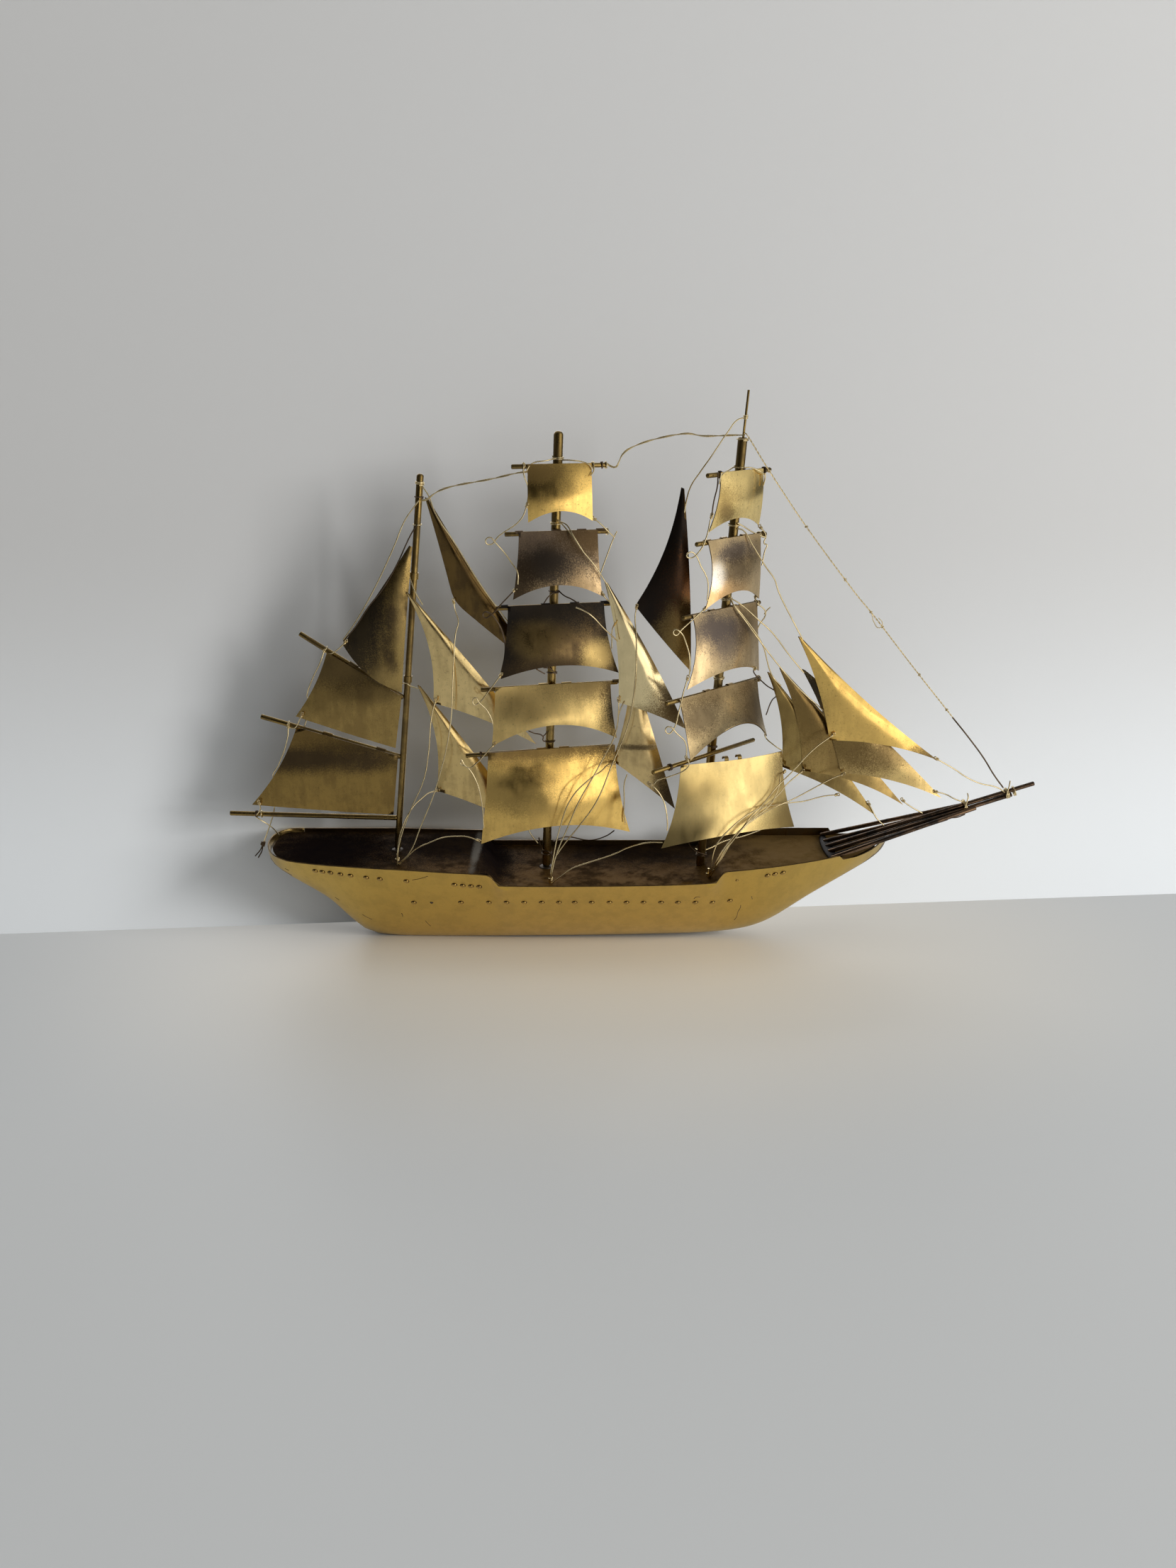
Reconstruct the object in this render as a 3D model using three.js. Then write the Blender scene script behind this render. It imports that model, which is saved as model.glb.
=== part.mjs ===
// A brass three-masted barque made as a wall ornament: a half hull on a flat back plate,
// rod masts and yards, bent sheet sails and a fan of rods for a bowsprit. Units are
// millimetres. +X runs to the bow, +Y runs into the wall, +Z is up. While the ship is
// built, z counts from the keel. At the end the whole group drops so that the origin
// lies on the back face, between the two hanging keyholes.

import * as THREE from "three";

// ---------------------------------------------------------------- driving dimensions

const SHEET = 0.9; // thickness of the hull and deck sheet
const SAIL_SHEET = 0.8; // thickness of every sail
const GAP = 0.3; // clearance where two pieces meet

const MAST_RADIUS = 3.175; // main and fore masts
const MIZZEN_RADIUS = 2.38; // mizzen mast
const SPAR_RADIUS = 1.5875; // yards and bowsprit
const GAFF_RADIUS = 1.85; // boom and gaffs, a little thicker than the yards
const POLE_RADIUS = 0.8; // thin rod on top of the fore mast
const WIRE_RADIUS = 0.5; // stays

const RIM_BREAK = 80.6; // hull rim beside the waist, above the keel
const RIM_RISE = 1.6; // how much higher the rim is towards bow and stern
const RIM_RISE_RUN = 60; // length over which it rises
const RIM_WAIST = 72; // rim along the waist
const RIM_BOW = 77.5; // rim under the bowsprit
const AFT_BREAK = -69; // where the waist begins at the wall
const AFT_BREAK_SKEW = 11; // how far further forward it begins at the near side
const FORE_BREAK = 98.6; // where the waist ends at the wall
const FORE_BREAK_SKEW = 5.5;
const BREAK_RUN = 9; // length of each slanting step
const BOW_NOTCH = 197; // where the rim is cut down for the bowsprit
const BOW_NOTCH_RUN = 3;
const HULL_BREADTH = 86.5; // widest distance from the wall to the near side

const DECK_AFT = 79.5; // top of each deck level
const DECK_MAIN = 68.2;
const DECK_FORE = 76.3;

const STERN_SEAM = -212; // where the side plate meets the back plate at the stern
const BOW_END = 241.5; // where it meets the back plate at the bow
const MOUNT_HEIGHT = 50; // height of the keyholes and of the origin above the keel
const KEYHOLE_X = 110;
const KEYHOLE_HEAD = 5; // radius of the round part of a keyhole
const KEYHOLE_SLOT = 2.6; // half the width of its slot
const KEYHOLE_LENGTH = 14; // from the middle of the round part to the top of the slot

const MIZZEN = { foot: [-134, -37, DECK_AFT], head: [-103.5, -37, 354] };
const MAIN = { foot: [-22, -43, DECK_MAIN], head: [-10.1, -43, 382] };
const FORE = { foot: [93.4, -43, DECK_MAIN], head: [111.7, -43, 378] };
const POLE_TOP = [114.2, -43, 408];

const MAIN_BRACE = THREE.MathUtils.degToRad(12); // how far the main yards are swung
const FORE_BRACE = THREE.MathUtils.degToRad(43); // how far the fore yards are swung

// One row a sail, from the top down, the same set for both masts: yard length, width
// of the head and the foot, drop to the corners, how far the middle of the foot is cut
// up, and how much further forward the middle of the foot stands than its corners.
const SQUARE_SAILS = [
  { yard: 64, head: 43, foot: 47, drop: 36, arch: 7.5, belly: 3 },
  { yard: 71.5, head: 54, foot: 61, drop: 43.5, arch: 9.8, belly: 4.5 },
  { yard: 80, head: 67, foot: 83, drop: 49, arch: 9.5, belly: 7.5 },
  { yard: 98, head: 82.5, foot: 91.5, drop: 40.5, arch: 15.5, belly: 8 },
  { yard: 108, head: 92.5, foot: 113, drop: 66.5, arch: 12, belly: 6 },
];
// Where each yard crosses its mast, how far its middle is shifted along itself, how
// far the sail's middle is shifted, and how far the corners of the foot stand forward.
// The sails are a little bent: the left and right corners of the foot are moved along
// the yard, and on some the left side is hollow or the middle of the foot is lifted.
const MAIN_YARDS = [
  { height: 360.3, shift: 0, sailShift: 0, kick: 0.7, corners: [3, 0] },
  { height: 316.5, shift: 0, sailShift: 0.5, kick: 1.7, corners: [0, 1] },
  { height: 266.7, shift: -1, sailShift: 0.5, kick: 0.7, corners: [3.5, 4.5] },
  { height: 209.8, shift: -2, sailShift: 0, kick: 1.5, corners: [2.5, 1.5] },
  { height: 162.1, shift: -7.5, sailShift: 0.5, kick: 2.7, corners: [5.5, 3.5] },
];
const FORE_YARDS = [
  { height: 356.2, shift: -6, sailShift: -6, kick: -1.5, corners: [-4, 0] },
  { height: 312.8, shift: -7, sailShift: -7, kick: 0.7, corners: [5, 0], hollow: 5 },
  { height: 264.9, shift: -9.5, sailShift: -9, kick: 0.5, corners: [7, 0], hollow: 5 },
  { height: 207.8, shift: -10, sailShift: -7, kick: 10, corners: [9, 0], hollow: 3, lift: 4 },
  { height: 160.3, shift: -12.5 },
];

const BULGE = 1.5; // how far a square sail bellies forward at half its height

const BOWSPRIT_ROOT = [190, 78.2]; // x and z where the rods start on the fore deck
const BOWSPRIT_LASHING = [292, 112]; // x and z of the first lashing

// ---------------------------------------------------------------- materials

const POLISHED = { color: 0xc9a24a, roughness: 0.3, metalness: 1 };
const AGED = { color: 0x8a6a35, roughness: 0.45, metalness: 1 };
const DARK = { color: 0x3a2a1e, roughness: 0.55, metalness: 0.9 };

// ---------------------------------------------------------------- shared helpers

const ship = new THREE.Group();

function add(name, geometry, finish, parent = ship) {
  const mesh = new THREE.Mesh(geometry, new THREE.MeshStandardMaterial(finish));
  mesh.name = name;
  parent.add(mesh);
  return mesh;
}

// A sheet bent to a surface: the surface gives the middle of the sheet for every
// pair (across, down) from 0 to 1, and half the thickness goes to each side.
function bentSheet(surface, thickness, columns, rows) {
  const sheet = new THREE.BoxGeometry(1, 1, 1, columns, rows, 1);
  const position = sheet.getAttribute("position");
  const step = 1e-3;
  for (let i = 0; i < position.count; i += 1) {
    const across = position.getX(i) + 0.5;
    const down = 0.5 - position.getY(i);
    const left = surface(Math.max(across - step, 0), down);
    const right = surface(Math.min(across + step, 1), down);
    const above = surface(across, Math.max(down - step, 0));
    const below = surface(across, Math.min(down + step, 1));
    const normal = right.sub(left).cross(above.sub(below)).normalize();
    const point = surface(across, down);
    point.addScaledVector(normal, position.getZ(i) * thickness);
    position.setXYZ(i, point.x, point.y, point.z);
  }
  sheet.computeVertexNormals();
  return sheet;
}

// A straight round rod between two points.
function rod(start, end, radius, sides = 12) {
  const from = new THREE.Vector3(...start);
  const to = new THREE.Vector3(...end);
  const along = to.clone().sub(from);
  const bar = new THREE.CylinderGeometry(radius, radius, along.length(), sides);
  const turn = new THREE.Quaternion();
  turn.setFromUnitVectors(new THREE.Vector3(0, 1, 0), along.clone().normalize());
  bar.applyQuaternion(turn);
  const middle = from.add(to).multiplyScalar(0.5);
  bar.translate(middle.x, middle.y, middle.z);
  return bar;
}

// A rod with a rounded top, for a mast that stands on a deck.
function mastRod({ foot, head }, radius) {
  const base = new THREE.Vector3(...foot);
  const along = new THREE.Vector3(...head).sub(base);
  const length = along.length();
  const profile = [new THREE.Vector2(0, 0), new THREE.Vector2(radius, 0)];
  for (let step = 0; step <= 3; step += 1) {
    const angle = (step / 3) * (Math.PI / 2);
    const rise = length - radius + radius * Math.sin(angle);
    profile.push(new THREE.Vector2(step === 3 ? 0 : radius * Math.cos(angle), rise));
  }
  const bar = new THREE.LatheGeometry(profile, 12);
  const turn = new THREE.Quaternion();
  turn.setFromUnitVectors(new THREE.Vector3(0, 1, 0), along.clone().normalize());
  bar.applyQuaternion(turn);
  bar.translate(base.x, base.y, base.z + 2 * GAP);
  return bar;
}

// A wire through a few points, with six flat sides.
function wire(points, steps) {
  const path = new THREE.CatmullRomCurve3(points.map((p) => new THREE.Vector3(...p)));
  const section = new THREE.Shape();
  section.absarc(0, 0, WIRE_RADIUS, 0, 2 * Math.PI);
  const settings = { extrudePath: path, steps, curveSegments: 3, bevelEnabled: false };
  return new THREE.ExtrudeGeometry(section, settings);
}

// The point of a mast's middle line at a height above the keel.
function mastAt({ foot, head }, height) {
  const share = (height - foot[2]) / (head[2] - foot[2]);
  return new THREE.Vector3(...foot).lerp(new THREE.Vector3(...head), share);
}

// ---------------------------------------------------------------- hull lines

const plan = new THREE.CurvePath();

function planBend(...corners) {
  const points = corners.map(([x, y]) => new THREE.Vector2(x, y));
  plan.add(new THREE.CubicBezierCurve(...points));
}

// The rim seen from above: a short lap on the wall plane, the round stern, the long
// near side and the bow that runs back to the wall.
planBend([STERN_SEAM - GAP, -SHEET / 2], [-215, -SHEET / 2], [-217, -SHEET / 2], [-220, -SHEET / 2]);
planBend([-220, -SHEET / 2], [-240, -SHEET / 2], [-240, -55], [-205, -66.5]);
planBend([-205, -66.5], [-172, -77], [-90, -HULL_BREADTH], [-20, -HULL_BREADTH]);
planBend([-20, -HULL_BREADTH], [100, -HULL_BREADTH], [215, -80], [BOW_END, -SHEET - 2 * GAP]);

// The lower edge seen from the side: counter, heel, keel, forefoot and stem.
const PROFILE = new THREE.SplineCurve(
  [
    [-236, 75],
    [-219, 68.5],
    [-204, 58],
    [-186, 41.5],
    [-177, 24],
    [-168, 9.5],
    [-152, 0.8],
    [-120, -1],
    [-40, 0],
    [60, 2],
    [115, 5],
    [146, 15],
    [177, 43],
    [204, 60.5],
    [224, 67.5],
    [243, 70.5],
  ].map(([x, z]) => new THREE.Vector2(x, z)),
);
const PROFILE_POINTS = PROFILE.getPoints(320);

function profileHeight(x) {
  const next = PROFILE_POINTS.findIndex((point) => point.x >= x);
  const after = PROFILE_POINTS[Math.max(next, 1)];
  const before = PROFILE_POINTS[Math.max(next, 1) - 1];
  const share = (x - before.x) / (after.x - before.x);
  return before.y + (after.y - before.y) * share;
}

// 0 before a step of a given length, 1 after it.
function ramp(x, start, run) {
  return THREE.MathUtils.clamp((x - start) / run, 0, 1);
}

function aftBreak(y) {
  return AFT_BREAK + AFT_BREAK_SKEW * (-y / HULL_BREADTH) - BREAK_RUN / 2;
}

function foreBreak(y) {
  return FORE_BREAK + FORE_BREAK_SKEW * (-y / HULL_BREADTH) - BREAK_RUN / 2;
}

function rimHeight(x, y) {
  const aft = aftBreak(y);
  const fore = foreBreak(y);
  const away = x < 0 ? aft - x : x - fore - BREAK_RUN;
  const high = RIM_BREAK + RIM_RISE * ramp(away, 0, RIM_RISE_RUN);
  const waist = ramp(x, aft, BREAK_RUN) - ramp(x, fore, BREAK_RUN);
  const height = THREE.MathUtils.lerp(high, RIM_WAIST, waist);
  return THREE.MathUtils.lerp(height, RIM_BOW, ramp(x, BOW_NOTCH, BOW_NOTCH_RUN));
}

function deckHeight(x, y) {
  const down = ramp(x, aftBreak(y), BREAK_RUN);
  const up = ramp(x, foreBreak(y), BREAK_RUN);
  return DECK_AFT + (DECK_MAIN - DECK_AFT) * down + (DECK_FORE - DECK_MAIN) * up;
}

// The lower edge of the side plate under a point of the rim. A deep plate leans in
// towards the wall, a shallow one at the ends of the hull stands nearly upright.
function lowerEdge(x, y) {
  const bottomZ = profileHeight(x);
  const depth = (RIM_BREAK - bottomZ) / RIM_BREAK;
  const lean = 0.76 * depth ** 0.8;
  const room = Math.max(-y - SHEET - 2 * GAP, 0);
  return new THREE.Vector3(x, y + lean * room, bottomZ);
}

function hullSection(x, y) {
  const rim = new THREE.Vector3(x, y, rimHeight(x, y));
  const edge = lowerEdge(x, y);
  const turn = new THREE.Vector3(
    THREE.MathUtils.lerp(rim.x, edge.x, 0.5),
    THREE.MathUtils.lerp(rim.y, edge.y, 0.78),
    THREE.MathUtils.lerp(rim.z, edge.z, 0.94),
  );
  return new THREE.QuadraticBezierCurve3(rim, turn, edge);
}

// The near and the far edge of a flat level inside the hull at a station x, at a
// distance below the rim.
function insideEdges(x, height) {
  const crossings = [];
  const points = plan.getSpacedPoints(300);
  let last = null;
  for (let i = 1; i < points.length - 1; i += 1) {
    const along = points[i + 1].clone().sub(points[i - 1]).normalize();
    const section = hullSection(points[i].x, points[i].y);
    const rim = section.v0;
    const slope = (section.v1.y - rim.y) / (rim.z - section.v1.z);
    const inset = SHEET + 4 * GAP + slope * Math.max(rim.z - height + SHEET, 0);
    const inner = new THREE.Vector2(-along.y, along.x).multiplyScalar(inset).add(points[i]);
    if (last && (last.x - x) * (inner.x - x) <= 0 && last.x !== inner.x) {
      const share = (x - last.x) / (inner.x - last.x);
      crossings.push(last.y + (inner.y - last.y) * share);
    }
    last = inner;
  }
  const near = Math.min(...crossings);
  const far = crossings.length > 1 ? Math.max(...crossings) : 0;
  return { near, far: Math.min(far, -SHEET - GAP) };
}

// ---------------------------------------------------------------- hull

function addSidePlate() {
  const stations = plan.getSpacedPoints(600);
  const surface = (across, down) => {
    const place = across * 600;
    const index = Math.min(Math.floor(place), 599);
    const station = stations[index].clone().lerp(stations[index + 1], place - index);
    return hullSection(station.x, station.y).getPoint(down);
  };
  add("hull_side_plate", bentSheet(surface, SHEET, 60, 6), POLISHED);
}

function keyhole(x) {
  const opening = new THREE.Path();
  const neck = Math.asin(KEYHOLE_SLOT / KEYHOLE_HEAD);
  const start = Math.PI / 2 - neck;
  opening.absarc(x, MOUNT_HEIGHT, KEYHOLE_HEAD, Math.PI / 2 + neck, start + 2 * Math.PI);
  opening.absarc(x, MOUNT_HEIGHT + KEYHOLE_LENGTH - KEYHOLE_SLOT, KEYHOLE_SLOT, 0, Math.PI);
  return opening;
}

function addBackPlate() {
  const outline = new THREE.Shape();
  outline.moveTo(STERN_SEAM, profileHeight(STERN_SEAM));
  for (let x = STERN_SEAM + 9; x < BOW_END; x += 9) {
    outline.lineTo(x, profileHeight(x));
  }
  outline.lineTo(BOW_END, profileHeight(BOW_END));
  const aft = aftBreak(0);
  const fore = foreBreak(0);
  const top = [BOW_END, BOW_NOTCH + BOW_NOTCH_RUN, BOW_NOTCH, fore + BREAK_RUN + RIM_RISE_RUN];
  top.push(fore + BREAK_RUN, fore, aft + BREAK_RUN, aft, aft - RIM_RISE_RUN, STERN_SEAM);
  top.forEach((x) => outline.lineTo(x, rimHeight(x, 0)));
  outline.holes.push(keyhole(-KEYHOLE_X), keyhole(KEYHOLE_X));
  const settings = { depth: SHEET, bevelEnabled: false, curveSegments: 8 };
  const plate = new THREE.ExtrudeGeometry(outline, settings);
  plate.rotateX(Math.PI / 2);
  add("hull_back_plate", plate, AGED);
}

// The bottom is a strip bent along the keel line, between the wall plate and the
// lower edge of the side plate.
function addBottomStrip() {
  const from = STERN_SEAM - 5;
  const to = BOW_END - 9;
  const stations = 44;
  const nearEdge = [];
  const points = plan.getSpacedPoints(600);
  for (let i = 0; i <= stations; i += 1) {
    const x = THREE.MathUtils.lerp(from, to, i / stations);
    const next = points.findIndex((point) => point.x > x && point.y < -20);
    const edge = lowerEdge(points[next].x, points[next].y);
    const before = lowerEdge(points[next - 1].x, points[next - 1].y);
    const slope = (edge.y - before.y) / (edge.x - before.x);
    nearEdge.push(edge.y + (SHEET + GAP) * Math.hypot(1, slope));
  }
  const surface = (across, down) => {
    const x = THREE.MathUtils.lerp(from, to, across);
    const place = Math.min(Math.floor(across * stations), stations - 1);
    const share = across * stations - place;
    const near = THREE.MathUtils.lerp(nearEdge[place], nearEdge[place + 1], share);
    const y = THREE.MathUtils.lerp(-SHEET - GAP, near, down);
    return new THREE.Vector3(x, y, profileHeight(x) + SHEET);
  };
  add("hull_bottom", bentSheet(surface, SHEET, stations, 1), AGED);
}

// One sheet makes all three deck levels, bent down and up again at the waist.
function addDeck() {
  const stations = [-229, -227.5, -225, -222, -217, -210, -200, -188, -174, -150, -120, -95];
  stations.push(AFT_BREAK - BREAK_RUN / 2, AFT_BREAK + BREAK_RUN / 2, -30, 0, 30, 60);
  stations.push(FORE_BREAK - BREAK_RUN / 2, FORE_BREAK + BREAK_RUN / 2, 120, 135, 150);
  stations.push(165, 180, 192, 204, 214, 222, 229, 235);
  const edges = stations.map((x) => insideEdges(x, deckHeight(x, -HULL_BREADTH / 2)));
  const last = stations.length - 1;
  const surface = (across, down) => {
    const place = Math.min(Math.floor(across * last + 1e-6), last - 1);
    const share = across * last - place;
    const station = THREE.MathUtils.lerp(stations[place], stations[place + 1], share);
    const near = THREE.MathUtils.lerp(edges[place].near, edges[place + 1].near, share);
    const far = THREE.MathUtils.lerp(edges[place].far, edges[place + 1].far, share);
    const y = THREE.MathUtils.lerp(far, near, down);
    const skew = station < 0 ? AFT_BREAK_SKEW : FORE_BREAK_SKEW;
    const middle = station < 0 ? AFT_BREAK : FORE_BREAK;
    const pull = Math.max(1 - Math.abs(station - middle) / 25, 0) * skew;
    const x = station + Math.min(pull * (-y / HULL_BREADTH) * 1.25, skew * (-y / HULL_BREADTH));
    return new THREE.Vector3(x, y, deckHeight(x, y) - SHEET / 2);
  };
  add("deck", bentSheet(surface, SHEET, last, 2), DARK);
}

// ---------------------------------------------------------------- masts and spars

function addMasts() {
  add("mizzen_mast", mastRod(MIZZEN, MIZZEN_RADIUS), AGED);
  add("main_mast", mastRod(MAIN, MAST_RADIUS), AGED);
  add("fore_mast", mastRod(FORE, MAST_RADIUS), AGED);
  const seat = mastAt(FORE, FORE.head[2] + 3 * GAP);
  add("fore_pole", rod(seat.toArray(), POLE_TOP, POLE_RADIUS), AGED);
}

const SPANKER_SPARS = [
  { name: "boom", from: [-134.2, 105.2], to: [-257, 109] },
  { name: "lower_gaff", from: [-128.8, 153.6], to: [-227, 184] },
  { name: "upper_gaff", from: [-124.3, 198.6], to: [-194, 245] },
];

function addSpankerSpars() {
  const y = MIZZEN.foot[1];
  SPANKER_SPARS.forEach(({ name, from, to }) => {
    const start = [from[0], y, from[1]];
    add(name, rod(start, [to[0], y, to[1]], GAFF_RADIUS), AGED);
  });
}

// ---------------------------------------------------------------- square sails

// Each yard has a frame of its own on the mast: x along the yard, -y forward.
function yardFrame(mast, height, brace) {
  const frame = new THREE.Group();
  frame.position.copy(mastAt(mast, height));
  frame.rotation.z = brace;
  ship.add(frame);
  return frame;
}

// A square sail hangs in front of its yard. Its sides hollow in before they spread to
// the corners, its foot is cut in an arch, and it bellies forward.
function squareSail({ head, foot, drop, arch, belly }, placing, lean) {
  const { sailShift, kick, corners, hollow = 0, lift = 0 } = placing;
  const front = MAST_RADIUS + 2 * SPAR_RADIUS + 2 * GAP + SAIL_SHEET / 2;
  const surface = (across, down) => {
    const side = 2 * across - 1;
    const middle = 1 - side * side;
    const width = THREE.MathUtils.lerp(head, foot, down ** 1.7);
    const rise = (arch + lift) * middle * down ** 2;
    const halfway = 4 * down * (1 - down);
    const forward = kick * down ** 2 + BULGE * halfway + belly * down * (2 - down) * middle;
    const left = (1 - across) * (corners[0] * down ** 2 + hollow * halfway);
    const right = across * corners[1] * down ** 2;
    const x = sailShift - lean * drop * down + (side * width) / 2 + left + right;
    const z = SPAR_RADIUS - (drop + SPAR_RADIUS) * down + rise;
    return new THREE.Vector3(x, -front - forward, z);
  };
  return bentSheet(surface, SAIL_SHEET, 8, 6);
}

const SAIL_NAMES = ["royal", "topgallant", "upper_topsail", "lower_topsail", "course"];
const SAIL_FINISHES = {
  main: [POLISHED, DARK, DARK, POLISHED, POLISHED],
  fore: [POLISHED, AGED, AGED, POLISHED, POLISHED],
};

function addYards(mastName, mast, yards, brace) {
  const lean = (mast.head[0] - mast.foot[0]) / (mast.head[2] - mast.foot[2]);
  yards.forEach((placing, level) => {
    const frame = yardFrame(mast, placing.height, brace);
    const size = SQUARE_SAILS[level];
    const offset = MAST_RADIUS + SPAR_RADIUS + GAP;
    const yard = new THREE.CylinderGeometry(SPAR_RADIUS, SPAR_RADIUS, size.yard, 12);
    yard.rotateZ(Math.PI / 2);
    yard.translate(placing.shift, -offset, 0);
    add(`${mastName}_${SAIL_NAMES[level]}_yard`, yard, AGED, frame);
    const loose = mastName === "fore" && SAIL_NAMES[level] === "course";
    if (!loose) {
      const sail = squareSail(size, placing, lean);
      add(`${mastName}_${SAIL_NAMES[level]}`, sail, SAIL_FINISHES[mastName][level], frame);
    }
  });
}

// The fore course has come off its yard: it hangs by its near corner, less braced
// and more curled than the others.
function addLooseCourse() {
  const frame = new THREE.Group();
  frame.position.set(111.5, -63, 161);
  frame.rotation.z = THREE.MathUtils.degToRad(22);
  ship.add(frame);
  const surface = (across, down) => {
    const side = 2 * across - 1;
    const middle = 1 - side * side;
    const width = THREE.MathUtils.lerp(81, 104, down ** 1.7);
    const forward = 4 * down ** 2 + (4 + 10 * down * (2 - down)) * middle;
    const x = (side * width) / 2 - 4 * (1 - across) * down ** 5;
    return new THREE.Vector3(x, -forward, -59 * down + 9 * middle * down ** 2);
  };
  add("fore_course", bentSheet(surface, SAIL_SHEET, 8, 6), POLISHED, frame);
}

// ---------------------------------------------------------------- fore-and-aft sails

// An edge between two points in the ship's side view, hollowed towards the sail by a
// depth measured at its middle.
function sailEdge(from, to, hollow, inward) {
  const along = to.clone().sub(from);
  const normal = new THREE.Vector2(-along.y, along.x).normalize();
  const middle = from.clone().add(to).multiplyScalar(0.5);
  if (normal.dot(inward.clone().sub(middle)) < 0) {
    normal.negate();
  }
  return new THREE.QuadraticBezierCurve(from, middle.addScaledVector(normal, 2 * hollow), to);
}

// A sail between four corners (top left, top right, bottom right, bottom left), with
// a hollow for each edge in the same order: top, right, bottom, left.
function sideSail({ corners, hollows, y, belly = 3 }) {
  const [topLeft, topRight, lowRight, lowLeft] = corners.map(([x, z]) => new THREE.Vector2(x, z));
  const centre = new THREE.Vector2();
  [topLeft, topRight, lowRight, lowLeft].forEach((point) => centre.addScaledVector(point, 0.25));
  const top = sailEdge(topLeft, topRight, hollows[0], centre);
  const right = sailEdge(topRight, lowRight, hollows[1], centre);
  const bottom = sailEdge(lowLeft, lowRight, hollows[2], centre);
  const left = sailEdge(topLeft, lowLeft, hollows[3], centre);
  const surface = (across, down) => {
    const sides = left.getPoint(down).lerp(right.getPoint(down), across);
    const ends = top.getPoint(across).lerp(bottom.getPoint(across), down);
    const upper = topLeft.clone().lerp(topRight, across);
    const lower = lowLeft.clone().lerp(lowRight, across);
    const place = sides.add(ends).sub(upper.lerp(lower, down));
    const fullness = belly * Math.sin(Math.PI * across) * Math.sin(Math.PI * down * 0.8 + 0.2);
    return new THREE.Vector3(place.x, y - fullness, place.y);
  };
  return bentSheet(surface, SAIL_SHEET, 5, 6);
}

// The pointed head of a three-cornered sail is 1.5 mm wide.
function threeCornered(head, tack, clew) {
  return [head, [head[0] + 1.5, head[1] - 0.8], tack, clew];
}

const SIDE_SAILS = [
  {
    name: "gaff_topsail",
    corners: threeCornered([-112.5, 307], [-123.5, 203], [-163, 238]),
    hollows: [0, 0.5, -5.5, 0.5],
    y: -41.7,
    finish: DARK,
  },
  {
    name: "upper_spanker",
    corners: [[-175, 232], [-124, 200], [-130.5, 161], [-201, 185]],
    hollows: [0, 0, 0, 2.5],
    y: -40,
    finish: POLISHED,
  },
  {
    name: "lower_spanker",
    corners: [[-201, 177], [-129, 155], [-135, 109], [-239, 117]],
    hollows: [0, 0, 0, 3.6],
    y: -40,
    finish: POLISHED,
  },
  {
    name: "mizzen_upper_staysail",
    corners: threeCornered([-100.5, 339], [-25, 218], [-84, 268]),
    hollows: [0, 1.5, 0, 0.5],
    y: -40,
    finish: AGED,
  },
  {
    name: "mizzen_middle_staysail",
    corners: threeCornered([-116, 275], [-28, 165], [-101, 196]),
    hollows: [0, -1, 3, 6.5],
    y: -43.5,
    finish: POLISHED,
  },
  {
    name: "mizzen_lower_staysail",
    corners: threeCornered([-112, 208], [-33, 97], [-102, 128]),
    hollows: [0, -1, 2.5, 6.5],
    y: -40,
    finish: POLISHED,
  },
  {
    name: "main_upper_staysail",
    corners: threeCornered([72, 346], [82, 219], [42, 266]),
    hollows: [0, -1.5, -0.5, 5],
    y: -44,
    finish: DARK,
  },
  {
    name: "main_middle_staysail",
    corners: threeCornered([21, 283], [80, 177], [31, 197]),
    hollows: [0, -2, 2, 3.5],
    y: -46,
    finish: POLISHED,
  },
  {
    name: "main_lower_staysail",
    corners: [[39, 204], [46, 206], [74, 112], [27, 150]],
    hollows: [0, 0, 1, 2],
    y: -36,
    finish: POLISHED,
  },
  {
    name: "inner_jib",
    corners: threeCornered([138, 216], [225, 105], [152, 144]),
    hollows: [0, -1.5, 3.6, 4.6],
    y: -32.5,
    finish: POLISHED,
  },
  {
    name: "middle_jib",
    corners: threeCornered([145.7, 220], [243.2, 115.5], [166.8, 142.6]),
    hollows: [0, -1, 5.5, 4.3],
    y: -37,
    finish: POLISHED,
  },
  {
    name: "outer_jib",
    corners: threeCornered([161.2, 220.2], [269.6, 122.7], [194, 142.6]),
    hollows: [0, -2.5, 4.3, 3],
    y: -41.5,
    finish: POLISHED,
  },
  {
    name: "flying_jib",
    corners: threeCornered([156, 245], [262, 154], [183, 169]),
    hollows: [0, 3, 4.5, 3],
    y: -46.5,
    finish: POLISHED,
  },
];

// ---------------------------------------------------------------- bowsprit and stays

// Five rods fan out at the bow and close up under the first lashing. Each has the
// depth where it starts, its place in the bundle and the x where it ends.
const BOWSPRIT_RODS = [
  { name: "bowsprit_rod_1", root: -28, bundle: [-33, 3], end: 339 },
  { name: "bowsprit_rod_2", root: -38, bundle: [-34.9, 0], end: 324 },
  { name: "bowsprit_rod_3", root: -18, bundle: [-31.1, 0], end: 293.5 },
  { name: "bowsprit_rod_4", root: -50, bundle: [-38.8, 0], end: 297 },
  { name: "bowsprit_rod_5", root: -5, bundle: [-27.2, 0], end: 293.5 },
];

function addBowsprit() {
  BOWSPRIT_RODS.forEach(({ name, root, bundle, end }) => {
    const start = new THREE.Vector3(BOWSPRIT_ROOT[0], root, BOWSPRIT_ROOT[1]);
    const [lashX, lashZ] = BOWSPRIT_LASHING;
    const lashed = new THREE.Vector3(lashX, bundle[0], lashZ + bundle[1]);
    const reach = (end - start.x) / (lashed.x - start.x);
    const tip = start.clone().lerp(lashed, reach);
    add(name, rod(start.toArray(), tip.toArray(), SPAR_RADIUS, 10), DARK);
  });
}

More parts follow.
